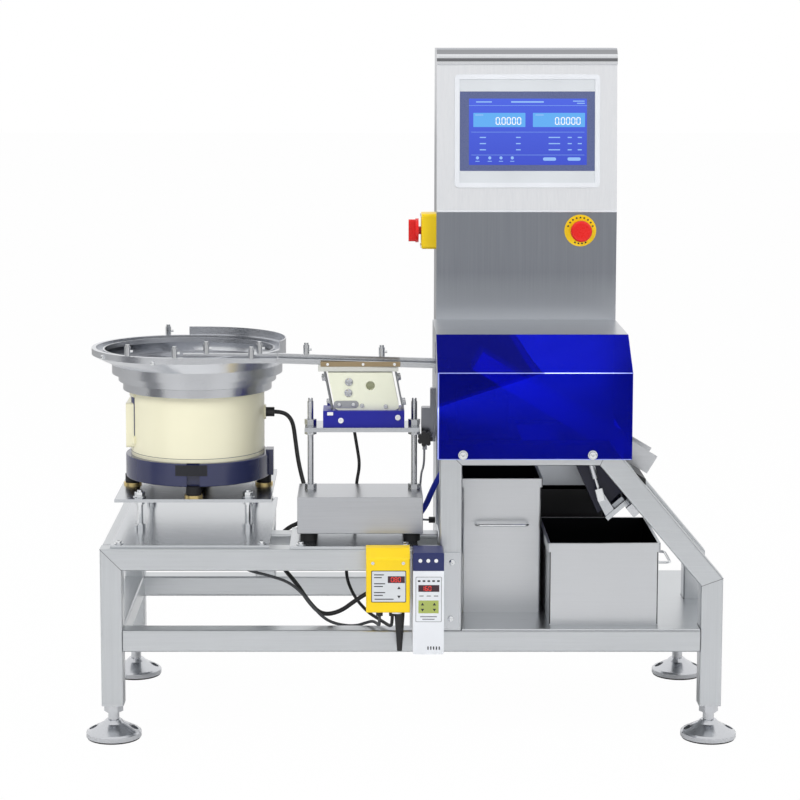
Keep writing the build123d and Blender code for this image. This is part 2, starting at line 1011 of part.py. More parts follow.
with BuildPart() as switch_knob:
    with BuildSketch(switch_plane.offset(switch_box_proud - 6)):
        Circle(knob_radius / 3)
    extrude(amount=knob_gap + 7)
    with BuildSketch(switch_plane.offset(switch_box_proud + knob_gap)):
        Circle(knob_radius)
    extrude(amount=knob_base)
    with BuildSketch(switch_plane.offset(switch_box_proud + knob_gap + knob_base)):
        RectangleRounded(14, 2 * knob_radius - 4, 4)
    extrude(amount=knob_grip)
switch_knob.part.label = "switch_knob"
export_step(switch_knob.part, "parts/switch_knob.step")

# Bowl feeder: pillars between the table plate and the drive plate
bowl_y = at_depth(bowl_depth)
pillar_bottom = table_top + table_sheet
drive_plate_z = pillar_bottom + pillar_height
with BuildPart() as pillars:
    for bottom, radius, height in (
        (pillar_bottom, pillar_radius, pillar_height),
        (pillar_bottom, pillar_foot_radius, pillar_foot_height),
        (drive_plate_z - pillar_cap_height, pillar_cap_radius, pillar_cap_height),
    ):
        with BuildSketch(Plane((bowl_x, bowl_y, bottom))):
            with GridLocations(pillar_spacing_x, pillar_spacing_y, 2, 2):
                Circle(radius)
        extrude(amount=height)
pillars.part.label = "pillars"
export_step(pillars.part, "parts/pillars.step")

disc_z = drive_plate_z + drive_plate_sheet
buffer_z = disc_z + disc_height
base_z = buffer_z + buffer_height
with BuildPart() as foot_discs:
    with BuildSketch(Plane((bowl_x, bowl_y, disc_z))):
        with PolarLocations(foot_circle, 4):
            Circle(disc_radius)
    extrude(amount=disc_height)
foot_discs.part.label = "foot_discs"
export_step(foot_discs.part, "parts/foot_discs.step")

weight_x = feeder_x + weight_shift_x
weight_y = at_depth(feeder_plate_depth / 2) + weight_shift_y
weight_bottom = table_top + table_sheet + pad_gap_height
weight_top = weight_bottom + weight_height
with BuildPart() as buffers:
    with BuildSketch(Plane((bowl_x, bowl_y, buffer_z))):
        with PolarLocations(foot_circle, 4):
            Circle(buffer_radius)
    extrude(amount=buffer_height)
    with BuildSketch(Plane((weight_x, weight_y, table_top + table_sheet))):
        with GridLocations(
            weight_length - 2 * weight_pad_inset, weight_depth - 2 * weight_pad_inset, 2, 2
        ):
            Circle(weight_pad_radius)
    extrude(amount=pad_gap_height)
buffers.part.label = "buffers"
export_step(buffers.part, "parts/buffers.step")

drive_front = Plane((bowl_x, bowl_y - base_radius, base_z + base_height / 2), z_dir=(0, -1, 0))
with BuildPart() as drive_base:
    with BuildSketch(Plane((bowl_x, bowl_y, base_z))):
        Circle(base_radius)
    extrude(amount=base_height)
    fillet(drive_base.edges().filter_by(GeomType.CIRCLE), radius=base_edge)
    with BuildSketch(Plane((bowl_x + base_radius, bowl_y, base_z))):
        Rectangle(2 * base_tab_reach, base_tab_width)
    extrude(amount=base_tab_height)
    with BuildSketch(drive_front):
        Rectangle(window_width, window_height)
    extrude(amount=-window_recess, mode=Mode.SUBTRACT)
    with BuildSketch(Plane((bowl_x, bowl_y, base_z + base_height))):
        Circle(drum_radius + seat_gap)
    extrude(amount=base_tab_height, mode=Mode.SUBTRACT)
drive_base.part.label = "drive_base"
export_step(drive_base.part, "parts/drive_base.step")

# Drum, with a flat side panel on its left and a flat boss for the cable gland on its right
drum_z = base_z + base_height
gland_z = drum_z + gland_rise
boss_face = bowl_x + drum_radius + drum_boss_reach
with BuildPart() as drive_drum:
    with BuildSketch(Plane((bowl_x, bowl_y, drum_z))):
        Circle(drum_radius)
    extrude(amount=drum_height)
    with BuildSketch(Plane((boss_face, bowl_y, gland_z), x_dir=(0, 1, 0), z_dir=(1, 0, 0))):
        RectangleRounded(drum_boss, drum_boss, drum_boss / 4)
    extrude(amount=-4 * drum_boss_reach)
    with BuildSketch(
        Plane(
            (
                bowl_x - drum_radius - side_panel_reach,
                bowl_y,
                drum_z + side_panel_rise + side_panel_height / 2,
            ),
            x_dir=(0, -1, 0),
            z_dir=(-1, 0, 0),
        )
    ):
        RectangleRounded(side_panel_width, side_panel_height, side_panel_reach)
    extrude(amount=-drum_radius / 3)
drive_drum.part.label = "drive_drum"
export_step(drive_drum.part, "parts/drive_drum.step")

flange_z = drum_z + drum_height
with BuildPart() as flange_ring:
    with BuildSketch(Plane((bowl_x, bowl_y, flange_z))):
        Circle(flange_radius)
    extrude(amount=flange_height)
    with BuildSketch(Plane((bowl_x, bowl_y, flange_z + flange_height))):
        Circle(flange_radius - gasket_inset)
    extrude(amount=gasket_height)
flange_ring.part.label = "flange_ring"
export_step(flange_ring.part, "parts/flange_ring.step")

# Bowl: a stepped shell turned up to the outer track
bowl_z = flange_z + flange_height + gasket_height
step_z = bowl_z + bowl_step_height
side_z = bowl_z + bowl_side_height
bowl_axis = Axis((bowl_x, bowl_y, 0), (0, 0, 1))
with BuildPart() as bowl:
    with BuildSketch(front_sketch(bowl_y)):
        with BuildLine():
            Polyline(
                (bowl_x, bowl_z),
                (bowl_x + bowl_step_radius, bowl_z),
                (bowl_x + bowl_step_radius, step_z),
                (bowl_x + bowl_side_radius, step_z + ledge_rise),
                (bowl_x + bowl_side_radius, side_z),
                (bowl_x + bowl_side_radius - bowl_wall, side_z),
                (bowl_x + bowl_side_radius - bowl_wall, step_z + ledge_rise + bowl_wall),
                (bowl_x + bowl_step_radius - bowl_wall, step_z + bowl_wall),
                (bowl_x + bowl_step_radius - bowl_wall, bowl_z + bowl_wall),
                (bowl_x, bowl_z + bowl_wall + bowl_dome),
                close=True,
            )
        make_face()
    revolve(axis=bowl_axis)
bowl.part.label = "bowl"
export_step(bowl.part, "parts/bowl.step")


# Spiral track: a shelf that climbs inside the stepped wall
def wall_radius(z):
    """Inner radius of the bowl's wall at this height."""
    if z < step_z + ledge_rise + bowl_wall:
        return bowl_step_radius - bowl_wall
    return bowl_side_radius - bowl_wall


spiral_start_z = bowl_z + bowl_wall + 2
spiral_end_z = side_z - spiral_sheet
with BuildPart() as spiral_track:
    count = int(spiral_turns * spiral_sections)
    for i in range(count + 1):
        turn = radians(360 * spiral_turns * i / count - 60)
        z = spiral_start_z + (spiral_end_z - spiral_start_z) * i / count
        outer = wall_radius(z)
        out_dir = Vector(cos(turn), sin(turn), 0)
        across = Vector(sin(turn), -cos(turn), 0)
        with BuildSketch(Plane((bowl_x, bowl_y, z), x_dir=out_dir, z_dir=across)):
            with Locations((outer - spiral_width / 2, spiral_sheet / 2)):
                Rectangle(spiral_width, spiral_sheet)
    loft(ruled=True)
spiral_track.part.label = "spiral_track"
export_step(spiral_track.part, "parts/spiral_track.step")

# Outer track: a flared skirt, a floor with two bars, and the straight exit along the front
def channel_profile():
    """Section of the parts channel: a groove between a low front bar and a high back bar."""
    Polyline(
        (-track_width / 2, -track_base),
        (track_width / 2, -track_base),
        (track_width / 2, back_bar_height),
        (track_width / 2 - back_bar, back_bar_height),
        (track_width / 2 - back_bar, -groove_drop),
        (front_bar - track_width / 2, -groove_drop),
        (front_bar - track_width / 2, 0),
        (-track_width / 2, 0),
        close=True,
    )


def rim_oval(inset):
    """Outline of the outer track, this far inside its edge."""
    return SlotOverall(2 * (rim_radius - inset) + rim_shift, 2 * (rim_radius - inset))


feeder_y = at_depth(feeder_depth)
rim_x = bowl_x - rim_shift / 2
rim_z = side_z + skirt_height
rim_plane = Plane((rim_x, bowl_y, rim_z))
with BuildPart() as rim_track:
    with BuildSketch(Plane((bowl_x, bowl_y, side_z))):
        Circle(bowl_side_radius)
    with BuildSketch(rim_plane):
        rim_oval(0)
    loft()
    with BuildSketch(Plane((bowl_x, bowl_y, side_z))):
        Circle(bowl_side_radius - bowl_wall)
    with BuildSketch(rim_plane):
        rim_oval(bowl_wall)
    loft(mode=Mode.SUBTRACT)
    with BuildSketch(rim_plane):
        rim_oval(0)
        with BuildSketch(mode=Mode.SUBTRACT):
            rim_oval(rim_width)
    extrude(amount=rim_sheet)
    with BuildSketch(rim_plane.offset(rim_sheet)):
        rim_oval(0)
        with BuildSketch(mode=Mode.SUBTRACT):
            rim_oval(rim_bar)
    extrude(amount=rim_height - rim_sheet)
    with BuildSketch(rim_plane.offset(rim_sheet)):
        rim_oval(rim_width - rim_lip)
        with BuildSketch(mode=Mode.SUBTRACT):
            rim_oval(rim_width)
    extrude(amount=rim_lip_height)
    with BuildSketch(Plane((rim_x, feeder_y, track_z), x_dir=(0, 1, 0), z_dir=(1, 0, 0))):
        with BuildLine():
            channel_profile()
        make_face()
    extrude(amount=track_start - track_joint - rim_x)
rim_track.part.label = "rim_track"
export_step(rim_track.part, "parts/rim_track.step")

# Raised band round the back and right of the outer track
with BuildPart() as back_band:
    with BuildSketch(rim_plane.offset(rim_height)):
        rim_oval(0)
        with BuildSketch(mode=Mode.SUBTRACT):
            rim_oval(band_sheet)
        with Locations((band_left - rim_x - rim_radius, 0)):
            Rectangle(2 * rim_radius, 3 * rim_radius, mode=Mode.SUBTRACT)
        with Locations((0, band_front - bowl_depth - rim_radius)):
            Rectangle(4 * rim_radius, 2 * rim_radius, mode=Mode.SUBTRACT)
    extrude(amount=band_height)
back_band.part.label = "back_band"
export_step(back_band.part, "parts/back_band.step")

# Clamp collars with their cross screws, on the outer track and both bars of the straight track
left_arc = Vector(rim_x - rim_shift / 2, bowl_y, rim_z + rim_height)
collar_circle = rim_radius - rim_bar / 2
front_bar_y = feeder_y - track_width / 2 + front_bar / 2
back_bar_y = feeder_y + track_width / 2 - back_bar / 2
track_fall = tan(radians(track_slope))
collar_places = [
    left_arc + Vector(collar_circle * cos(radians(turn)), collar_circle * sin(radians(turn)), 0)
    for turn in rim_collar_turns
]
collar_places += [
    Vector(rim_collar_x, front_bar_y, rim_z + rim_height),
    Vector(front_collar_x, front_bar_y, track_z + seat_gap),
]
collar_places += [Vector(x, back_bar_y, track_z + back_bar_height + seat_gap) for x in back_collar_x]
collar_places += [
    Vector(x, back_bar_y, track_z + back_bar_height + seat_gap - (x - track_start) * track_fall)
    for x in track_collar_x
]
with BuildPart() as collars:
    for place in collar_places:
        with BuildSketch(Plane(place)):
            Circle(collar_radius)
        extrude(amount=collar_height)
        with BuildSketch(Plane(place + Vector(0, 0, collar_height))):
            Circle(collar_neck_radius)
        extrude(amount=collar_neck)
        with BuildSketch(Plane(place + Vector(0, 0, collar_height / 2), z_dir=(1, 0, 0))):
            Circle(collar_screw_radius)
        extrude(amount=collar_screw_reach)
collars.part.label = "collars"
export_step(collars.part, "parts/collars.step")

# Linear feeder: counterweight on its pads, with the threaded rods that carry the drive
with BuildPart() as counterweight:
    with BuildSketch(Plane((weight_x, weight_y, weight_bottom))):
        Rectangle(weight_length, weight_depth)
    extrude(amount=weight_height)
    fillet(counterweight.edges(), radius=weight_edge)
counterweight.part.label = "counterweight"
export_step(counterweight.part, "parts/counterweight.step")

rod_x = feeder_x + rod_shift_x
with BuildPart() as threaded_rods:
    with BuildSketch(Plane((rod_x, feeder_y, weight_top))):
        with GridLocations(rod_spacing, 0, 2, 1):
            Circle(rod_radius)
    extrude(amount=rod_length)
    for nut_z in (weight_top, carrier_z - rod_nut_height, carrier_z + carrier_sheet):
        with BuildSketch(Plane((rod_x, feeder_y, nut_z))):
            with GridLocations(rod_spacing, 0, 2, 1):
                RegularPolygon(rod_nut_flats / 2, 6, major_radius=False)
        extrude(amount=rod_nut_height)
threaded_rods.part.label = "threaded_rods"
export_step(threaded_rods.part, "parts/threaded_rods.step")

base_top = carrier_z + carrier_sheet + blue_base_height
blue_x = feeder_x + blue_base_shift
with BuildPart() as feeder_base:
    with BuildSketch(Plane((blue_x, feeder_y, carrier_z + carrier_sheet))):
        Rectangle(blue_base_length, blue_base_depth)
    extrude(amount=blue_base_height)
feeder_base.part.label = "feeder_base"
export_step(feeder_base.part, "parts/feeder_base.step")

block_left = blue_x - block_length / 2
block_bottom = base_top
block_front = feeder_y - block_depth / 2
block_top = block_bottom + block_height
with BuildPart() as drive_block:
    with BuildSketch(front_sketch(block_front)):
        with BuildLine():
            Polyline(
                (block_left + block_lean / 2, block_bottom),
                (block_left + block_lean / 2 + block_length, block_bottom),
                (block_left - block_lean / 2 + block_length, block_top),
                (block_left - block_lean / 2, block_top),
                close=True,
            )
        make_face()
    extrude(amount=-block_depth)
    fillet(drive_block.edges().filter_by(Axis.Y).group_by(Axis.Z)[0], radius=block_corner)
    with Locations(front_sketch(block_front) * Location((block_hole_x, block_hole_z, 0))):
        Hole(block_hole_radius, depth=block_hole_depth)
drive_block.part.label = "drive_block"
export_step(drive_block.part, "parts/drive_block.step")

with BuildPart() as leaf_springs:
    for side in (-1, 1):
        middle = blue_x + side * (block_length / 2 + spring_gap)
        with BuildSketch(front_sketch(feeder_y - spring_width / 2)):
            with BuildLine():
                Polyline(
                    (middle + block_lean / 2 - spring_sheet / 2, block_bottom),
                    (middle + block_lean / 2 + spring_sheet / 2, block_bottom),
                    (middle - block_lean / 2 + spring_sheet / 2, block_top + spring_rise),
                    (middle - block_lean / 2 - spring_sheet / 2, block_top + spring_rise),
                    close=True,
                )
            make_face()
        extrude(amount=-spring_width)
leaf_springs.part.label = "leaf_springs"
export_step(leaf_springs.part, "parts/leaf_springs.step")

mount_bottom = block_top + spring_rise
mount_left = blue_x - top_mount_shift - top_mount_length / 2
mount_right = mount_left + top_mount_length


def track_underside(x):
    """Height of the straight track's underside above this X."""
    return track_z - (x - track_start) * track_fall - track_base / cos(radians(track_slope))


with BuildPart() as top_mount:
    with BuildSketch(front_sketch(block_front)):
        with BuildLine():
            Polyline(
                (mount_left, mount_bottom),
                (mount_right, mount_bottom),
                (mount_right, track_underside(mount_right) - seat_gap),
                (mount_left, track_underside(mount_left) - seat_gap),
                close=True,
            )
        make_face()
    extrude(amount=-block_depth)
top_mount.part.label = "top_mount"
export_step(top_mount.part, "parts/top_mount.step")

# Straight track, sloping down into the housing
track_dir = Vector(cos(radians(track_slope)), 0, -sin(radians(track_slope)))
with BuildPart() as straight_track:
    with BuildSketch(Plane((track_start, feeder_y, track_z), x_dir=(0, 1, 0), z_dir=track_dir)):
        with BuildLine():
            channel_profile()
        make_face()
    extrude(amount=track_end - track_start)
straight_track.part.label = "straight_track"
export_step(straight_track.part, "parts/straight_track.step")

# Reject station: a gate under a funnel, worked by an air cylinder
tilt = radians(gate_angle)
pin_x = gate_pivot_x - pin_along * cos(tilt) - pin_above * sin(tilt)
pin_z = gate_pivot_z - pin_along * sin(tilt) + pin_above * cos(tilt)
trunnion_x = pin_x - trunnion_distance * sin(radians(rod_angle))
trunnion_z = pin_z + trunnion_distance * cos(radians(rod_angle))


def gate_sketch(depth):
    """Plane along the gate at this depth, with its origin at the hinge and Y up off the gate."""
    return Plane(
        (gate_pivot_x, at_depth(depth), gate_pivot_z),
        x_dir=(cos(tilt), 0, sin(tilt)),
        z_dir=(0, -1, 0),
    )


gate_width = gate_back - gate_front
gate_middle = gate_beyond_pivot - gate_length / 2
tab_front = cylinder_depth - (clevis_slot - 2) / 2
with BuildPart() as reject_gate:
    with BuildSketch(gate_sketch(gate_front)):
        with Locations((gate_middle, gate_above_pivot + gate_sheet / 2)):
            Rectangle(gate_length, gate_sheet)
        Circle(gate_knuckle_radius)
    extrude(amount=-gate_width)
    with BuildSketch(gate_sketch(funnel_front + gate_pad_side)):
        with Locations((gate_middle, gate_above_pivot + gate_sheet + gate_pad / 2)):
            Rectangle(gate_length - 2 * gate_pad_end, gate_pad)
    extrude(amount=-(funnel_back - funnel_front - 2 * gate_pad_side))
    with BuildSketch(gate_sketch(tab_front)):
        with BuildLine():
            Polyline(
                (gate_beyond_pivot - gate_length, gate_above_pivot),
                (gate_beyond_pivot - gate_length + gate_tab_root, gate_above_pivot),
                (gate_tab_head - pin_along, pin_above),
                (-pin_along, pin_above + gate_tab_head),
                (-pin_along - gate_tab_head, pin_above),
                close=True,
            )
        make_face()
    extrude(amount=-(clevis_slot - 2))
    with BuildSketch(gate_sketch(gate_front)):
        Circle(gate_pin_radius + running_gap)
        with Locations((-pin_along, pin_above)):
            Circle(clevis_pin_radius + clevis_pin_play)
    extrude(amount=-gate_width, mode=Mode.SUBTRACT)
reject_gate.part.label = "reject_gate"
export_step(reject_gate.part, "parts/reject_gate.step")

# Hinge shaft of the gate on ears under the sloping members, and the cylinder's stud behind the portal rail
under_z = right_leg_top + (half_length - gate_pivot_x) * slope_tan - slope_drop
shaft_below = (under_z - gate_pivot_z) * cos(radians(slope_angle))
slope_dir = Vector(cos(radians(slope_angle)), 0, -sin(radians(slope_angle)))
with BuildPart() as reject_pins:
    for ear_y in (front_y + tube / 2, portal_y + tube / 2):
        with BuildSketch(
            Plane((gate_pivot_x, ear_y - ear_sheet / 2, gate_pivot_z), x_dir=slope_dir, z_dir=(0, -1, 0))
        ):
            with Locations((0, shaft_below - ear_drop / 2)):
                Rectangle(ear_width, ear_drop)
        extrude(amount=-ear_sheet)
    with BuildSketch(front_sketch(front_y + tube / 2)):
        with Locations((gate_pivot_x, gate_pivot_z)):
            Circle(gate_pin_radius)
    extrude(amount=-portal_spacing)
    with BuildSketch(front_sketch(front_y + tube)):
        with Locations((trunnion_x, trunnion_z)):
            Rectangle(stud_plate, stud_plate)
    extrude(amount=-stud_plate_sheet)
    with BuildSketch(front_sketch(front_y + tube)):
        with Locations((trunnion_x, trunnion_z)):
            Circle(trunnion_radius)
    extrude(amount=-(cylinder_depth - tube + eye_sheet / 2 + 1 + stud_cap))
    with BuildSketch(front_sketch(front_y + cylinder_depth + eye_sheet / 2 + 1)):
        with Locations((trunnion_x, trunnion_z)):
            Circle(trunnion_radius + stud_cap)
    extrude(amount=-stud_cap)
reject_pins.part.label = "reject_pins"
export_step(reject_pins.part, "parts/reject_pins.step")

# Air cylinder, swinging on its stud
rod_dir = Vector(sin(radians(rod_angle)), 0, -cos(radians(rod_angle)))
cylinder_y = at_depth(cylinder_depth)
cylinder_axis = Plane((trunnion_x, cylinder_y, trunnion_z), x_dir=(0, 1, 0), z_dir=rod_dir)
with BuildPart() as reject_cylinder:
    with BuildSketch(front_sketch(cylinder_y - eye_sheet / 2)):
        with Locations((trunnion_x, trunnion_z)):
            Circle(eye_radius)
    extrude(amount=-eye_sheet)
    with BuildSketch(cylinder_axis):
        Circle(eye_sheet / 2)
    extrude(amount=cylinder_start)
    with BuildSketch(cylinder_axis.offset(cylinder_start)):
        Circle(cylinder_radius)
    extrude(amount=cylinder_end - cylinder_start)
    with BuildSketch(cylinder_axis.offset(cylinder_start + 4)):
        Circle(cylinder_rod_radius + running_gap)
    extrude(amount=cylinder_end, mode=Mode.SUBTRACT)
    with BuildSketch(front_sketch(cylinder_y - eye_sheet)):
        with Locations((trunnion_x, trunnion_z)):
            Circle(trunnion_radius + running_gap)
    extrude(amount=-2 * eye_sheet, mode=Mode.SUBTRACT)
reject_cylinder.part.label = "reject_cylinder"
export_step(reject_cylinder.part, "parts/reject_cylinder.step")

clevis_start = trunnion_distance - 16
with BuildPart() as reject_rod:
    with BuildSketch(cylinder_axis.offset(cylinder_start + 8)):
        Circle(cylinder_rod_radius)
    extrude(amount=clevis_start - cylinder_start - 8)
    with BuildSketch(cylinder_axis.offset(clevis_start)):
        RectangleRounded(clevis_width, 14, 2)
    extrude(amount=23)
    with BuildSketch(cylinder_axis.offset(clevis_start + 5)):
        Rectangle(clevis_slot, 16)
    extrude(amount=20, mode=Mode.SUBTRACT)
    with BuildSketch(front_sketch(cylinder_y - clevis_width / 2)):
        with Locations((pin_x, pin_z)):
            Circle(clevis_pin_radius)
    extrude(amount=-clevis_width)
reject_rod.part.label = "reject_rod"
export_step(reject_rod.part, "parts/reject_rod.step")

# Funnel over the gate, hung between the portals' upper rails
left_x, left_z = funnel_left_foot
right_x, right_z = funnel_right_foot
with BuildPart() as reject_funnel:
    with BuildSketch(front_sketch(at_depth(funnel_front))):
        with BuildLine():
            Polyline(
                (funnel_left_top, funnel_top),
                (left_x, left_z),
                (right_x, right_z),
                (funnel_right_top, funnel_top),
                close=True,
            )
        make_face()
    extrude(amount=-(funnel_back - funnel_front))
    open_ends = reject_funnel.faces().sort_by(Axis.Z)
    offset(
        amount=-funnel_sheet,
        openings=[open_ends[0], open_ends[-1]],
    )
    with BuildSketch(front_sketch(front_y + tube)):
        with Locations((funnel_left_top - 4, funnel_top - funnel_sheet / 2)):
            Rectangle(20, funnel_sheet)
    extrude(amount=-(portal_spacing - tube))
reject_funnel.part.label = "reject_funnel"
export_step(reject_funnel.part, "parts/reject_funnel.step")

# Bracket that carries the chute on the sloping members
wedge_left = 402.0
wedge_right = 419.0


def slope_top(x):
    """Height of the sloping members' upper face at this X."""
    return right_leg_top + (half_length - x) * slope_tan


def chute_underside(x):
    """Height of the discharge chute's underside at this X."""
    rise = (chute_end_x - x) * tan(radians(chute_angle))
    return chute_end_z + rise - chute_height / 2 / cos(radians(chute_angle))


with BuildPart() as chute_bracket:
    with BuildSketch(front_sketch(front_y + 10)):
        with BuildLine():
            Polyline(
                (wedge_left, slope_top(wedge_left)),
                (wedge_right, slope_top(wedge_right)),
                (wedge_right, chute_underside(wedge_right)),
                (wedge_left, chute_underside(wedge_left)),
                close=True,
            )
        make_face()
    extrude(amount=-(portal_spacing + tube - 20))
chute_bracket.part.label = "chute_bracket"
export_step(chute_bracket.part, "parts/chute_bracket.step")

# Controls hung on the front rail
with BuildPart() as stepped_controller:
    with BuildSketch(Plane.YZ.offset(stepped_x - stepped_width / 2)):
        with BuildLine():
            Polyline(
                (front_y, stepped_z),
                (front_y - controller_reach, stepped_z),
                (front_y - controller_reach, stepped_z + stepped_height - stepped_top_drop),
                (front_y - stepped_top_depth, stepped_z + stepped_height),
                (front_y, stepped_z + stepped_height),
                close=True,
            )
        make_face()
    extrude(amount=stepped_width)
    controller_faces = stepped_controller.faces().sort_by(Axis.Y)
    fillet(controller_faces[0].edges(), radius=controller_corner)
stepped_controller.part.label = "stepped_controller"
export_step(stepped_controller.part, "parts/stepped_controller.step")

with BuildPart() as tall_controller:
    with BuildSketch(front_sketch(front_y - mount_sheet)):
        with Locations((tall_x, tall_z + tall_height / 2)):
            RectangleRounded(tall_width, tall_height, controller_corner)
    extrude(amount=controller_reach)
tall_controller.part.label = "tall_controller"
export_step(tall_controller.part, "parts/tall_controller.step")

# Steel plates: bowl table, drive plate, feeder plate, carrier plate and the controls' plate
with BuildPart() as mounting_plates:
    with BuildSketch(Plane((bowl_x + table_plate_shift, (front_y + back_y) / 2, table_top))):
        Rectangle(table_plate_length, frame_depth - 2 * table_plate_inset)
    extrude(amount=table_sheet)
    with BuildSketch(Plane((bowl_x, bowl_y, drive_plate_z))):
        Rectangle(drive_plate_width, drive_plate_depth)
    extrude(amount=drive_plate_sheet)
    with BuildSketch(Plane((feeder_x, at_depth(feeder_plate_depth / 2), table_top))):
        Rectangle(feeder_plate_length, feeder_plate_depth - 2 * feeder_plate_inset)
    extrude(amount=table_sheet)
    with BuildSketch(Plane((rod_x, feeder_y, carrier_z))):
        Rectangle(carrier_length, carrier_depth)
        with GridLocations(rod_spacing, 0, 2, 1):
            Circle(rod_radius + rod_clearance, mode=Mode.SUBTRACT)
    extrude(amount=carrier_sheet)
    with BuildSketch(front_sketch(front_y - mount_sheet)):
        with Locations((mount_x, mount_z + mount_height / 2)):
            Rectangle(mount_width, mount_height)
    extrude(amount=-mount_sheet)
mounting_plates.part.label = "mounting_plates"
export_step(mounting_plates.part, "parts/mounting_plates.step")

# Air regulator beside the housing, with its star knob
regulator_y = at_depth(regulator_front)
regulator_x = housing_left - regulator_width / 2
regulator_face = regulator_y + regulator_depth / 2
star_plane = Plane((star_x, regulator_y, star_z), x_dir=(1, 0, 0), z_dir=(0, -1, 0))
with BuildPart() as regulator:
    with BuildSketch(front_sketch(regulator_face)):
        with Locations((regulator_x, regulator_z + valve_height / 2)):
            RectangleRounded(regulator_width, valve_height, regulator_corner)
    extrude(amount=-regulator_depth)
    with BuildSketch(front_sketch(regulator_face)):
        with Locations((housing_left - valve_width / 2, valve_z + valve_height / 2)):
            RectangleRounded(valve_width, valve_height, regulator_corner)
    extrude(amount=-valve_depth)
    with BuildSketch(front_sketch(regulator_y)):
        with Locations((star_x, star_z)):
            Circle(star_boss_radius)
        with Locations((star_x, star_z - star_stem_height / 2)):
            Rectangle(2 * star_stem_radius, star_stem_height)
    extrude(amount=-regulator_depth / 2)
    with BuildSketch(front_sketch(regulator_face)):
        with Locations((regulator_x, star_z)):
            Rectangle(regulator_width, 2 * star_boss_radius)
    extrude(amount=-regulator_depth / 2)
    with Locations(star_plane):
        Hole(star_shaft_radius + running_gap, depth=star_shaft_depth + 2 * running_gap)
regulator.part.label = "regulator"
export_step(regulator.part, "parts/regulator.step")

with BuildPart() as star_knob:
    with BuildSketch(star_plane.offset(-star_shaft_depth)):
        Circle(star_shaft_radius)
    extrude(amount=star_shaft_depth + knob_gap + star_height)
    with BuildSketch(star_plane.offset(knob_gap)):
        Circle(star_radius - star_lobe_radius)
        with PolarLocations(star_radius - star_lobe_radius, star_lobes):
            Circle(star_lobe_radius)
    extrude(amount=star_height)
star_knob.part.label = "star_knob"
export_step(star_knob.part, "parts/star_knob.step")


# Cable glands and hose fittings, each ending where its cable or hose begins
def route_end(route, index):
    """Point of a route as a vector."""
    x, depth, z = route[index]
    return Vector(x, at_depth(depth), z)


with BuildPart() as cable_glands:
    with BuildSketch(Plane(route_end(drum_cable_route, 0), z_dir=(-1, 0, 0))):
        Circle(gland_radius)
    extrude(amount=drum_cable_route[0][0] - boss_face)
    for end, direction in (
        (route_end(feeder_cable_route, 0), (0, -1, 0)),
        (route_end(feeder_cable_route, -1), (0, 0, 1)),
        (route_end(sensor_cable_route, 0), (0, 0, 1)),
        (route_end(sensor_cable_route, -1), (0, 0, 1)),
        (route_end(drum_cable_route, -1), (0, -1, 0)),
        (route_end(blue_hose_route, -1), (1, 0, 0)),
        (route_end(air_tube_route, -1), (1, 0, 0)),
    ):
        with BuildSketch(Plane(end, z_dir=direction)):
            Circle(small_gland_radius)
        extrude(amount=small_gland_length)
    with BuildSketch(Plane(route_end(blue_hose_route, 0), z_dir=(0, 0, 1))):
        Circle(gland_radius)
    extrude(amount=portal_top - blue_hose_route[0][2])
    boot_top = Plane((boot_x, at_depth(controller_gland_depth), stepped_z), z_dir=(0, 0, -1))
    with BuildSketch(boot_top):
        Circle(gland_radius)
    extrude(amount=small_gland_length)
    with BuildSketch(boot_top.offset(small_gland_length)):
        Circle(gland_radius)
    with BuildSketch(boot_top.offset(small_gland_length + boot_length)):
        Circle(boot_tip_radius)
    loft()
cable_glands.part.label = "cable_glands"
export_step(cable_glands.part, "parts/cable_glands.step")


# Cables and hoses
def cord_radii(route):
    """Largest bend at each inner point that its two runs allow."""
    radii = []
    for before, point, after in zip(route, route[1:], route[2:]):
        half_turn = radians((point - before).get_angle(after - point) / 2)
        shorter_run = min((point - before).length, (after - point).length)
        radii.append(run_share * shorter_run / tan(half_turn))
    return radii


def cord_tube(name, diameter, points):
    """Cable or hose as a tube of straight runs and tangent arcs; prints its tightest bend."""
    route = [Vector(x, at_depth(depth), z) for x, depth, z in points]
    radii = cord_radii(route)
    with BuildPart() as tube_part:
        with BuildLine():
            path = FilletPolyline(*route, radius=radii)
        with BuildSketch(Plane(path @ 0, z_dir=path % 0)):
            Circle(diameter / 2)
        sweep(path=path)
    print(name, "length", round(path.length), "bends", [round(r) for r in radii])
    tube_part.part.label = name
    export_step(tube_part.part, f"parts/{name}.step")


cord_tube("drum_cable", drum_cable_diameter, drum_cable_route)
cord_tube("feeder_cable", feeder_cable_diameter, feeder_cable_route)
cord_tube("sensor_cable", sensor_cable_diameter, sensor_cable_route)
cord_tube("blue_hose", blue_hose_diameter, blue_hose_route)
cord_tube("air_tube", air_tube_diameter, air_tube_route)
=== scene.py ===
"""Looks of a checkweigher for small parts: finishes, fasteners, printed panels, cords and the studio."""

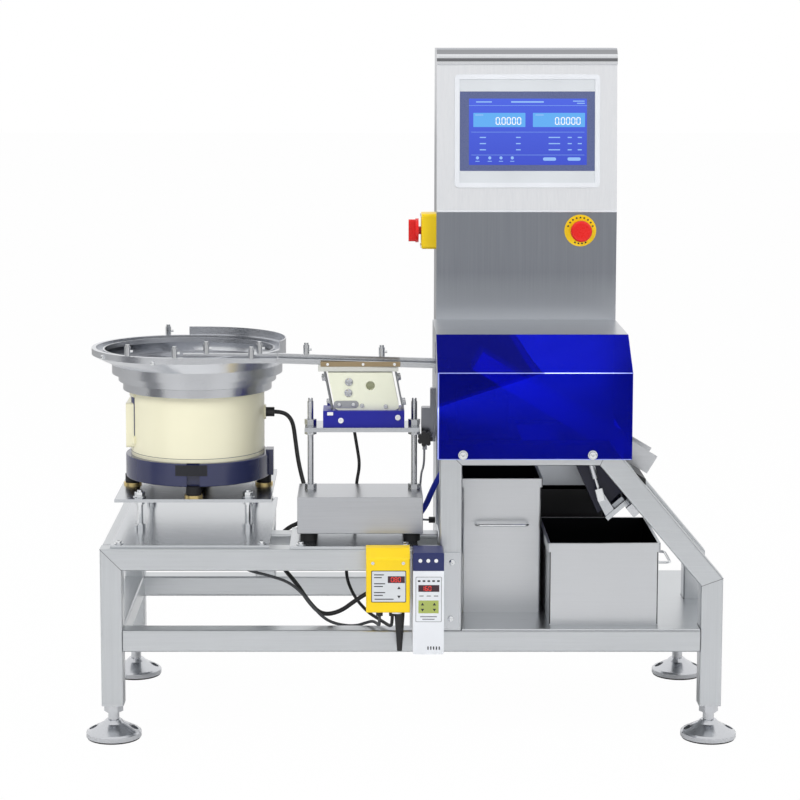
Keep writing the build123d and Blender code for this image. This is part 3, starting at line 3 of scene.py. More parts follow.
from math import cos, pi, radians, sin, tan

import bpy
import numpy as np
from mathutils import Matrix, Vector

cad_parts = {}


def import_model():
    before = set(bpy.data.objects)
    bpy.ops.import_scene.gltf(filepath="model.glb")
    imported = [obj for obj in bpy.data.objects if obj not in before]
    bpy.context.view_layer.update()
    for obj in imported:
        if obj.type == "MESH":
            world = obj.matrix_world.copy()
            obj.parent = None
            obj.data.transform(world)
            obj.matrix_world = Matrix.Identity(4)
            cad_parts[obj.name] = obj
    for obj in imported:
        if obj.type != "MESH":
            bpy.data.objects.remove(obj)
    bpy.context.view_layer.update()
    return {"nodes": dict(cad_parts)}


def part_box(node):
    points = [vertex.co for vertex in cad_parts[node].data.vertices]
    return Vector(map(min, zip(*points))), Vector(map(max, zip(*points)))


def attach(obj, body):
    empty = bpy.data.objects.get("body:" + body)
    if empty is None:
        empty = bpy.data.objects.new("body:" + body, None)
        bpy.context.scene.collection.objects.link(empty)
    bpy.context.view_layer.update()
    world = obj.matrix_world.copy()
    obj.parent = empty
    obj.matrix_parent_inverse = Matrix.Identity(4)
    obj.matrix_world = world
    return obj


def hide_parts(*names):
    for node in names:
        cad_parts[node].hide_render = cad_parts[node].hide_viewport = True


bl_info = {
    "name": "Checkweigher",
    "version": (1, 0, 0),
    "blender": (4, 5, 0),
    "location": "View3D > Sidebar > Checkweigher",
    "description": "Finishes, fasteners, panels, cords and studio of a checkweigher for small parts",
    "category": "Object",
}

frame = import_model()

MM = 0.001
box = {name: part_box(name) for name in frame["nodes"]}
front_y = box["legs"][0].y
CREASE = 0.936  # height of the column's crease, above which its panel leans back
BEFORE_ALL = -0.6  # Y of a place in front of the whole machine


def low(node):
    """Lowest corner of a node's box."""
    return box[node][0]


def high(node):
    """Highest corner of a node's box."""
    return box[node][1]


def at_depth(distance):
    """Y of a point this many millimetres behind the frame's front face."""
    return front_y + distance * MM


def tone(red, green, blue):
    """Linear colour of an 8 bit display colour."""
    share = np.array([red, green, blue]) / 255
    linear = np.where(share <= 0.04045, share / 12.92, ((share + 0.055) / 1.055) ** 2.4)
    return (*(float(v) for v in linear), 1.0)


# Directions that a flat piece can face: its own X, its own Y and outwards
FRONT = np.array([[1, 0, 0], [0, 0, 1], [0, -1, 0]], float)
BACK = np.array([[-1, 0, 0], [0, 0, 1], [0, 1, 0]], float)
LEFT = np.array([[0, -1, 0], [0, 0, 1], [-1, 0, 0]], float)
RIGHT = np.array([[0, 1, 0], [0, 0, 1], [1, 0, 0]], float)
UP = np.array([[1, 0, 0], [0, 1, 0], [0, 0, 1]], float)
DOWN = np.array([[1, 0, 0], [0, -1, 0], [0, 0, -1]], float)

HEAD_TILT = radians(5)
HEAD = np.array([[1, 0, 0], [0, sin(HEAD_TILT), cos(HEAD_TILT)], [0, -cos(HEAD_TILT), sin(HEAD_TILT)]])


class Sizes(bpy.types.PropertyGroup):
    """Sizes that a user would change"""

    bolt_radius: bpy.props.FloatProperty(
        name="Bolt head", description="Radius of a plate bolt's head", default=0.0055, unit="LENGTH"
    )
    screw_radius: bpy.props.FloatProperty(
        name="Cover screw", description="Radius of the cover's screw heads", default=0.0068, unit="LENGTH"
    )
    seam_width: bpy.props.FloatProperty(
        name="Seam width", description="Width of the dark line at a mitre", default=0.0009, unit="LENGTH"
    )
    print_thickness: bpy.props.FloatProperty(
        name="Print thickness", description="Thickness of a printed film", default=0.0003, unit="LENGTH"
    )


class Colours(bpy.types.PropertyGroup):
    """Colours that a user would change"""

    cream: bpy.props.FloatVectorProperty(
        name="Cream", description="Enamel of the bowl drive", default=tone(247, 243, 214)[:3], subtype="COLOR"
    )
    navy: bpy.props.FloatVectorProperty(
        name="Navy", description="Enamel of the drive's base", default=tone(38, 44, 84)[:3], subtype="COLOR"
    )
    blue: bpy.props.FloatVectorProperty(
        name="Blue", description="Enamel of the linear drive", default=tone(4, 12, 146)[:3], subtype="COLOR"
    )
    cover: bpy.props.FloatVectorProperty(
        name="Cover", description="Clear tinted sheet", default=tone(12, 26, 200)[:3], subtype="COLOR"
    )
    yellow: bpy.props.FloatVectorProperty(
        name="Yellow", description="Moulded plastic", default=tone(250, 212, 8)[:3], subtype="COLOR"
    )
    red: bpy.props.FloatVectorProperty(
        name="Red", description="Moulded plastic", default=tone(226, 24, 18)[:3], subtype="COLOR"
    )


def sizes():
    """The sizes in use."""
    return bpy.context.scene.checkweigher_sizes


def colour(name):
    """One of the user's colours, with full alpha."""
    return (*getattr(bpy.context.scene.checkweigher_colours, name), 1.0)


# Shader expressions
class Wire:
    """A socket that stands in an expression: arithmetic on it adds Math nodes."""

    def __init__(self, finish, socket):
        self.finish = finish
        self.socket = socket

    def math(self, operation, first, second):
        """A Math node of two values."""
        return self.finish.wire("ShaderNodeMath", {"operation": operation}, {0: first, 1: second})

    def __add__(self, other):
        return self.math("ADD", self, other)

    def __radd__(self, other):
        return self.math("ADD", other, self)

    def __sub__(self, other):
        return self.math("SUBTRACT", self, other)

    def __rsub__(self, other):
        return self.math("SUBTRACT", other, self)

    def __mul__(self, other):
        return self.math("MULTIPLY", self, other)

    def __rmul__(self, other):
        return self.math("MULTIPLY", other, self)

    def __gt__(self, other):
        return self.math("GREATER_THAN", self, other)

    def __lt__(self, other):
        return self.math("LESS_THAN", self, other)


class Finish:
    """One material and its nodes."""

    def __init__(self, name):
        self.material = bpy.data.materials.new(name)
        self.material.use_nodes = True
        self.tree = self.material.node_tree
        self.tree.nodes.clear()
        self.output = self.add("ShaderNodeOutputMaterial")
        self.place = self.wire("ShaderNodeTexCoord", output="Object")
        self.axes = [self.wire("ShaderNodeSeparateXYZ", {}, {0: self.place}, output=i) for i in range(3)]

    def add(self, kind, settings=None, sockets=None):
        """A node of this kind, with its settings set before the values and links of its sockets."""
        node = self.tree.nodes.new(kind)
        for key, value in (settings or {}).items():
            setattr(node, key, value)
        for key, value in (sockets or {}).items():
            if isinstance(value, Wire):
                self.tree.links.new(value.socket, node.inputs[key])
            else:
                node.inputs[key].default_value = value
        return node

    def wire(self, kind, settings=None, sockets=None, output=0):
        """One output of a new node."""
        return Wire(self, self.add(kind, settings, sockets).outputs[output])

    def noise(self, stretch, detail=2.0):
        """Noise from 0 to 1 whose grains per metre along X, Y and Z are given."""
        place = self.wire("ShaderNodeMapping", {}, {"Vector": self.place, "Scale": stretch})
        return self.wire("ShaderNodeTexNoise", {}, {"Vector": place, "Scale": 1.0, "Detail": detail})

    def mix(self, share, first, second):
        """Colour between two colours."""
        return self.wire("ShaderNodeMix", {"data_type": "RGBA"}, {0: share, 6: first, 7: second}, output=2)

    def bump(self, height, distance):
        """Normal of a surface raised by height times distance."""
        return self.wire("ShaderNodeBump", {}, {"Strength": 1.0, "Distance": distance, "Height": height})

    def inside(self, lo, hi):
        """1 where the place is between two corners, else 0. A None leaves that side open."""
        mask = None
        for wire, least, most in zip(self.axes, lo, hi):
            for limit, test in ((least, wire.__gt__), (most, wire.__lt__)):
                if limit is not None:
                    step = test(limit)
                    mask = step if mask is None else mask * step
        return mask

    def done(self, **sockets):
        """Ends the material with one Principled shader and returns the material."""
        names = {key.replace("_", " ").title().replace("Ior", "IOR"): value for key, value in sockets.items()}
        shader = self.wire("ShaderNodeBsdfPrincipled", {}, names)
        self.tree.links.new(shader.socket, self.output.inputs["Surface"])
        return self.material


def scaled(rgba, share):
    """A colour made darker or lighter by a share."""
    return (*(min(1.0, v * share) for v in rgba[:3]), 1.0)


def brushed_steel(name, along, shade, roughness=0.3, contrast=0.16, patches=()):
    """Satin stainless: streaks 1 and 4 mm wide along one axis, with broad faint clouds over them."""
    finish = Finish(name)
    wide = [230.0] * 3
    fine = [900.0] * 3
    wide[along] = 5.0
    fine[along] = 16.0
    streak = 0.55 * finish.noise(wide, 3.0) + 0.45 * finish.noise(fine, 2.0)
    cloud = finish.noise([6.0, 6.0, 6.0], 2.0)
    base = finish.mix(streak * 0.7 + cloud * 0.3, scaled(shade, 1 - contrast), scaled(shade, 1 + contrast))
    for mask_corners, patch in patches:
        base = finish.mix(finish.inside(*mask_corners), base, patch)
    return finish.done(
        base_color=base,
        metallic=1.0,
        roughness=roughness - 0.07 + 0.14 * streak,
        normal=finish.bump(streak, 0.00006),
    )


def turned_steel(name, shade, roughness=0.16):
    """Bright machined steel with faint turning marks."""
    finish = Finish(name)
    marks = finish.noise([300.0, 300.0, 2200.0], 2.0)
    return finish.done(
        base_color=finish.mix(marks, scaled(shade, 0.88), scaled(shade, 1.1)),
        metallic=1.0,
        roughness=roughness + 0.1 * marks,
        normal=finish.bump(marks, 0.00004),
    )


def threaded_steel(name, shade, pitch):
    """Bright steel with a thread's ridges: a sine of the height, one wave a pitch, and painted shade
    in the grooves between them.
    """
    finish = Finish(name)
    wave = finish.wire("ShaderNodeMath", {"operation": "SINE"}, {0: finish.axes[2] * (2 * pi / pitch)})
    ridge = 0.5 + 0.5 * wave
    # painted shade: the colour darkens in the grooves between the ridges
    return finish.done(
        base_color=finish.mix(ridge, scaled(shade, 0.74), shade),
        metallic=1.0,
        roughness=0.26 - 0.06 * ridge,
        normal=finish.bump(ridge, 0.0002),
    )


def enamel(name, shade, roughness=0.3, coat=0.3):
    """Sprayed paint: a faint orange peel and slow changes of shade."""
    finish = Finish(name)
    peel = finish.noise([420.0, 420.0, 420.0], 2.0)
    cloud = finish.noise([9.0, 9.0, 9.0], 2.0)
    return finish.done(
        base_color=finish.mix(cloud, scaled(shade, 0.96), scaled(shade, 1.04)),
        roughness=roughness - 0.03 + 0.06 * peel,
        coat_weight=coat,
        coat_roughness=0.12,
        normal=finish.bump(peel, 0.00005),
    )


def moulded(name, shade, roughness=0.42, grain=900.0, patches=()):
    """Moulded plastic or rubber with a fine spark-eroded grain."""
    finish = Finish(name)
    spark = finish.noise([grain] * 3, 3.0)
    cloud = finish.noise([14.0, 14.0, 14.0], 1.0)
    base = finish.mix(cloud, scaled(shade, 0.93), scaled(shade, 1.05))
    for mask_corners, patch in patches:
        base = finish.mix(finish.inside(*mask_corners), base, patch)
    return finish.done(
        base_color=base, roughness=roughness - 0.06 + 0.12 * spark, normal=finish.bump(spark, 0.00008)
    )


def tinted_sheet(name, tint, clear_share):
    """Clear tinted acrylic: what lies behind shows through the tint, under a glossy face of the same hue."""
    finish = Finish(name)
    haze = finish.noise([30.0, 30.0, 30.0], 2.0)
    through = finish.wire("ShaderNodeBsdfTransparent", {}, {"Color": tint})
    face = finish.wire(
        "ShaderNodeBsdfPrincipled",
        {},
        {
            "Base Color": finish.mix(haze, scaled(tint, 0.85), scaled(tint, 1.0)),
            "Roughness": 0.05 + 0.03 * haze,
            "Specular IOR Level": 0.18,
        },
    )
    share = clear_share - 0.04 + 0.08 * haze
    sheet = finish.wire("ShaderNodeMixShader", {}, {0: share, 1: face, 2: through})
    finish.tree.links.new(sheet.socket, finish.output.inputs["Surface"])
    return finish.material


def lit(name, shade, strength=1.0, lower=None, span=(0.0, 1.0)):
    """Backlit screen area, which may fade to a second colour towards the bottom of its span of heights."""
    finish = Finish(name)
    glow = shade
    if lower is not None:
        climb = (finish.axes[2] - span[0]) * (1 / (span[1] - span[0]))
        share = finish.wire("ShaderNodeClamp", {}, {0: climb})
        glow = finish.mix(share, lower, shade)
    return finish.done(
        base_color=(0.01, 0.01, 0.02, 1), roughness=0.25, emission_color=glow, emission_strength=strength
    )


def chamber_steel(name, lo, hi, shade):
    """Brushed sheet that is matt and of another shade between two corners, inside the weighing chamber,
    where the colour is painted shade on the housing and painted light on the chute.
    """
    finish = Finish(name)
    # inside these corners the colour is painted: shade for the housing, light for the chute
    inner = finish.inside(lo, hi)
    streak = finish.noise([5.0, 230.0, 230.0], 3.0)
    outer = finish.mix(streak, scaled(tone(204, 206, 209), 0.92), scaled(tone(204, 206, 209), 1.06))
    return finish.done(
        base_color=finish.mix(inner, outer, shade),
        metallic=1.0 - inner,
        roughness=0.3 + 0.3 * inner,
        normal=finish.bump(streak, 0.00004),
    )


def column_steel(name):
    """Brushed sheet of the column, with light and shade painted on its front: a painted reflection that is
    dark up to the crease with a brighter band near its foot, and near white on the panel above, which leans
    back towards the sky; painted shade in two bands on the lip and inside the open recess low in the column."""
    finish = Finish(name)
    lo, hi = box["column"]
    streak = 0.6 * finish.noise([230.0, 230.0, 4.0], 3.0) + 0.4 * finish.noise([900.0, 900.0, 12.0], 2.0)
    height = finish.axes[2]
    above = finish.wire("ShaderNodeMath", {"operation": "MAXIMUM"}, {0: height - CREASE, 1: 0.0})
    front = finish.axes[1] < lo.y + 0.0015 + tan(HEAD_TILT) * above
    climb = finish.wire("ShaderNodeClamp", {}, {0: (height - 0.73) * (1 / 0.09)})
    # painted reflection: the front below the crease is dark, brighter towards its foot
    lower = finish.mix(climb, tone(186, 190, 196), tone(136, 140, 148))
    # painted reflection of the sky: the panel above the crease is near white
    upper = finish.mix(streak, tone(222, 224, 228), tone(242, 243, 245))
    base = finish.mix(height > CREASE, finish.mix(0.3 * streak, lower, tone(196, 200, 206)), upper)
    base = finish.mix(front, finish.mix(streak, tone(176, 179, 184), tone(204, 206, 210)), base)
    # painted shade: two darker bands across the front of the lip
    for least, most, shade in ((1.2315, None, tone(158, 159, 162)), (1.218, 1.224, tone(126, 127, 130))):
        base = finish.mix(front * finish.inside((None, None, least), (None, None, most)), base, shade)
    # painted shade: the inside of the open recess low in the column is coloured near black
    painted_bay_shade = finish.inside((lo.x + 0.0025, lo.y + 0.0015, None), (hi.x - 0.0025, hi.y - 0.0005, 0.53))
    base = finish.mix(painted_bay_shade, base, tone(30, 31, 36))
    return finish.done(
        base_color=base, metallic=1.0, roughness=0.24 + 0.14 * streak, normal=finish.bump(streak, 0.00005)
    )


def within(node, across, deep, foot, top):
    """Corners of the space that lies so far inside a node's box."""
    lo, hi = box[node]
    return (lo.x + across, lo.y + deep, lo.z + foot), (hi.x - across, hi.y - deep, hi.z - top)


def bin_steel(name, node, across, deep):
    """Satin sheet of a bin, whose inside is painted near black as shade."""
    # painted shade: the inside, a little in from the walls, is coloured near black
    inside = (within(node, across, deep, 0.0018, 0.0008), tone(30, 31, 34))
    return brushed_steel(name, 0, tone(205, 207, 210), 0.34, 0.07, [inside])


# Shapes: each is a pair of points, as an array of rows, and faces, as lists of point numbers
def lathe(profile, steps=28):
    """Solid of revolution: each profile point (radius, height) is turned round Z in equal steps, and the
    two ends lie on the axis, each closed by a fan."""
    profile = np.asarray(profile, float)
    turn = np.arange(steps) * 2 * pi / steps
    rings = profile[1:-1]
    circle = np.stack([np.cos(turn), np.sin(turn)], axis=1)
    flat = (rings[:, None, :1] * circle[None]).reshape(-1, 2)
    heights = np.repeat(rings[:, 1], steps)
    points = np.column_stack([flat, heights])
    points = np.vstack([points, [0, 0, profile[0, 1]], [0, 0, profile[-1, 1]]])
    start = np.arange(steps)
    after = (start + 1) % steps
    rows = np.arange(len(rings) - 1)[:, None] * steps
    quads = np.stack([rows + start, rows + after, rows + after + steps, rows + start + steps], axis=2)
    top = (len(rings) - 1) * steps
    bottom_fan = np.stack([np.full(steps, len(points) - 2), after, start], axis=1)
    top_fan = np.stack([np.full(steps, len(points) - 1), top + start, top + after], axis=1)
    return points, [*quads.reshape(-1, 4).tolist(), *bottom_fan.tolist(), *top_fan.tolist()]


def ring(inner, outer, height, edge, steps=40):
    """Washer: a closed profile with broken edges, turned round Z in equal steps."""
    loop = np.array(
        [
            (inner, 0),
            (outer, 0),
            (outer, height - edge),
            (outer - edge, height),
            (inner + edge, height),
            (inner, height - edge),
        ]
    )
    turn = np.arange(steps) * 2 * pi / steps
    circle = np.stack([np.cos(turn), np.sin(turn)], axis=1)
    flat = (circle[:, None, :] * loop[None, :, :1]).reshape(-1, 2)
    points = np.column_stack([flat, np.tile(loop[:, 1], steps)])
    count = len(loop)
    start = np.arange(steps)[:, None] * count
    after = ((np.arange(steps) + 1) % steps)[:, None] * count
    here = np.arange(count)[None]
    beside = (np.arange(count)[None] + 1) % count
    quads = np.stack([start + here, after + here, after + beside, start + beside], axis=2)
    return points, quads.reshape(-1, 4).tolist()


def outline(width, height, corner):
    """Rounded rectangle: four quarter circles of the corner's radius, anticlockwise."""
    turn = np.linspace(0, pi / 2, 5)
    quarter = np.stack([np.cos(turn), np.sin(turn)], axis=1) * corner
    pieces = []
    for i, (side_x, side_y) in enumerate(((1, 1), (-1, 1), (-1, -1), (1, -1))):
        spin = i * pi / 2
        turned = quarter @ np.array([[cos(spin), sin(spin)], [-sin(spin), cos(spin)]])
        centre = np.array([side_x * (width / 2 - corner), side_y * (height / 2 - corner)])
        pieces.append(turned + centre)
    return np.vstack(pieces)


def slab(loop, thickness, edge=0.0):
    """Plate of any outline: the loop at the bottom and at the sides' top, and drawn in by the edge's
    width, by a share of its distance from the middle, at the face."""
    loop = np.asarray(loop, float)
    count = len(loop)
    middle = (loop.max(axis=0) + loop.min(axis=0)) / 2
    reach = (loop.max(axis=0) - loop.min(axis=0)) / 2
    inner = middle + (loop - middle) * (1 - edge / reach)
    levels = [(loop, 0.0), (loop, thickness - edge), (inner, thickness)]
    points = np.vstack([np.column_stack([flat, np.full(count, height)]) for flat, height in levels])
    here = np.arange(count)
    beside = (here + 1) % count
    faces = []
    for level in range(len(levels) - 1):
        base = level * count
        lower, upper = base + here, base + beside
        faces += np.stack([lower, upper, upper + count, lower + count], 1).tolist()
    faces.append(here[::-1].tolist())
    faces.append((here + (len(levels) - 1) * count).tolist())
    return points, faces


def plate(width, height, thickness, corner=0.001, edge=0.0003):
    """Rounded rectangular plate, centred, with broken edges round its face."""
    return slab(outline(width, height, min(corner, width / 2, height / 2)), thickness, edge)


def polygon(sides, radius, thickness, edge):
    """Regular prism with broken edges, such as a nut."""
    turn = np.arange(sides) * 2 * pi / sides
    return slab(np.stack([np.cos(turn), np.sin(turn)], axis=1) * radius, thickness, edge)


def tube_along(path, radius, sides=12):
    """Round bar along a path: at each point a circle stands square to the mean of its two runs, and both
    ends are closed."""
    path = np.asarray(path, float)
    runs = np.diff(path, axis=0)
    runs /= np.linalg.norm(runs, axis=1)[:, None]
    ahead = np.vstack([runs[:1], runs[:-1] + runs[1:], runs[-1:]])
    ahead /= np.linalg.norm(ahead, axis=1)[:, None]
    spread = np.eye(3)[np.argmin(np.abs(np.ptp(path, axis=0)))]
    side = np.cross(ahead, spread)
    side /= np.linalg.norm(side, axis=1)[:, None]
    other = np.cross(ahead, side)
    turn = np.arange(sides) * 2 * pi / sides
    points = path[:, None] + radius * (
        np.cos(turn)[None, :, None] * side[:, None] + np.sin(turn)[None, :, None] * other[:, None]
    )
    start = np.arange(sides)
    after = (start + 1) % sides
    rows = np.arange(len(path) - 1)[:, None] * sides
    quads = np.stack([rows + start, rows + after, rows + after + sides, rows + start + sides], axis=2)
    last = (len(path) - 1) * sides
    faces = quads.reshape(-1, 4).tolist()
    faces.append(start[::-1].tolist())
    faces.append((start + last).tolist())
    return points.reshape(-1, 3), faces


def placed(shape, origin, facing):
    """A shape set down with its own origin at a place and its own Z facing a direction."""
    points, faces = shape
    return np.asarray(points) @ facing + np.array(origin, float), faces


def joined(shapes):
    """Several shapes as one."""
    points, faces, count = [], [], 0
    for more_points, more_faces in shapes:
        points.append(more_points)
        faces += [[index + count for index in face] for face in more_faces]
        count += len(more_points)
    return np.vstack(points), faces


def piece(name, shapes, material):
    """A new mesh object of these shapes, with smooth faces between sharp edges, on the machine's body."""
    points, faces = joined(shapes)
    mesh = bpy.data.meshes.new(name)
    mesh.from_pydata(points.tolist(), [], faces)
    mesh.polygons.foreach_set("use_smooth", np.ones(len(mesh.polygons), bool))
    mesh.set_sharp_from_angle(angle=radians(32))
    mesh.materials.append(material)
    obj = bpy.data.objects.new(name, mesh)
    bpy.context.scene.collection.objects.link(obj)
    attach(obj, "machine")


# Fasteners, each with its seat at the origin and its head along Z
def cap_screw(radius, height):
    """Socket cap screw: a cylinder with a broken edge and a round socket sunk in it."""
    socket = radius * 0.5
    return lathe(
        [
            (0, 0),
            (radius, 0),
            (radius, height * 0.86),
            (radius * 0.86, height),
            (socket, height),
            (socket, height * 0.45),
            (0, height * 0.4),
        ],
        24,
    )


def pan_screw(radius, height):
    """Pan head screw: a shallow dome with a round drive sunk in it."""
    drive = radius * 0.34
    return lathe(
        [
            (0, 0),
            (radius, 0),
            (radius, height * 0.35),
            (radius * 0.9, height * 0.72),
            (radius * 0.66, height * 0.94),
            (drive, height),
            (drive, height * 0.5),
            (0, height * 0.42),
        ],
        24,
    )


def hex_bolt(across, height):
    """Hexagon head on a washer; across is the distance over its flats."""
    washer = ring(across * 0.2, across * 0.72, height * 0.18, height * 0.04)
    hexagon = polygon(6, across / 2 / cos(pi / 6), height * 0.82, height * 0.12)
    head = placed(hexagon, (0, 0, height * 0.18), UP)
    return joined([washer, head])


def slotted_stud(radius, height, slot=0.3):
    """Stud end with a cross slot: two half rounds with a gap between them on a round foot."""
    foot = lathe([(0, 0), (radius, 0), (radius, height * 0.7), (0, height * 0.7)], 20)
    halves = []
    for side in (1, -1):
        turn = np.linspace(-pi / 2 + slot, pi / 2 - slot, 8)
        loop = np.stack([np.cos(turn), np.sin(turn)], axis=1) * radius * (side, side)
        halves.append(placed(slab(loop, height * 0.3, radius * 0.05), (0, 0, height * 0.7), UP))
    return joined([foot, *halves])


# Figures of a number display by their strokes: top, right (upper, lower), foot, left (lower, upper), bar
STROKES = {
    "0": "abcdef",
    "1": "bc",
    "2": "abged",
    "3": "abgcd",
    "4": "fgbc",
    "5": "afgcd",
    "6": "afgedc",
    "7": "abc",
    "8": "abcdefg",
    "9": "abfgcd",
}
STROKE_PLACES = {
    "a": (0.5, 1.0, 0),
    "b": (1.0, 0.75, 1),
    "c": (1.0, 0.25, 1),
    "d": (0.5, 0.0, 0),
    "e": (0.0, 0.25, 1),
    "f": (0.0, 0.75, 1),
    "g": (0.5, 0.5, 0),
}


def figures(text, height, thickness):
    """A number in seven-stroke figures, from its left foot: each stroke is a long hexagon, and a point
    is a small square."""
    wide = height * 0.5
    bar = height * 0.14
    shapes = []
    x = 0.0
    for letter in text:
        if letter == ".":
            dot = plate(bar, bar, thickness, bar * 0.2, 0)
            shapes.append(placed(dot, (x - height * 0.12, 0, 0), UP))
            x += height * 0.1
            continue
        for stroke in STROKES[letter]:
            along, rise, upright = STROKE_PLACES[stroke]
            length = wide if not upright else height / 2
            half, tip = length / 2 - bar * 0.12, bar / 2
            flat = half - tip
            loop = np.array([(half, 0), (flat, tip), (-flat, tip), (-half, 0), (-flat, -tip), (flat, -tip)])
            if upright:
                loop = loop[:, ::-1] * (-1, 1)
            centre = (x + along * wide, rise * height, 0)
            shapes.append(placed(slab(loop, thickness), centre, UP))
        x += height * 0.78
    return joined(shapes)


def spot(x, depth, z):
    """Place of a point given in millimetres, with its depth counted from the frame's front face."""
    return (x * MM, at_depth(depth), z * MM)


def facing_to(normal):
    """Frame whose Z is a surface's normal and whose X is level."""
    out = np.array(normal, float)
    out /= np.linalg.norm(out)
    side = np.cross([0.0, 0.0, 1.0], out)
    if np.linalg.norm(side) < 1e-3:
        return UP
    side /= np.linalg.norm(side)
    return np.array([side, np.cross(out, side), out])


def seated(shape, node, start, direction):
    """A shape set on the surface of a part, where a ray from a point first meets it."""
    hit, place, normal, _ = frame["nodes"][node].ray_cast(Vector(start), Vector(direction))
    if not hit:
        raise ValueError(f"the ray from {tuple(start)} misses {node}")
    return placed(shape, place, facing_to(normal))


def before(shape, node, x, z):
    """A shape set on the front of a part at this X and Z, in millimetres."""
    return seated(shape, node, (x * MM, BEFORE_ALL, z * MM), (0, 1, 0))


def strip(start, end, width, thickness):
    """Thin straight line between two points of its own plane."""
    start, end = np.array(start, float), np.array(end, float)
    along = (end - start) / np.linalg.norm(end - start)
    across = np.array([-along[1], along[0]]) * width / 2
    return slab(np.array([start - across, end - across, end + across, start + across]), thickness)


def curved_plate(radius, start, end, foot, top, thickness, steps=14):
    """Plate bent round Z: two arcs of one angle, the plate's thickness apart, over a range of heights."""
    turn = np.linspace(start, end, steps)
    circle = np.stack([np.cos(turn), np.sin(turn)], axis=1)
    loop = np.vstack([circle * (radius + thickness), circle[::-1] * radius])
    points, faces = slab(loop, top - foot)
    return points + (0, 0, foot), faces


def panel(x, z, wide, high, thickness, facing, origin, corner=0.0005):
    """Flat print of a size in millimetres, centred at X and Y millimetres of a facing's own plane."""
    points, faces = plate(wide * MM, high * MM, thickness, corner)
    return placed((points + (x * MM, z * MM, 0), faces), origin, facing)


# Finishes
STEEL = tone(200, 203, 206)
BRIGHT = tone(224, 226, 228)
SHEET = 0.0022  # the housing's sheet, with a little over
CAP_FOOT = high("tall_controller").z - 0.0329  # foot of the tall controller's navy cap

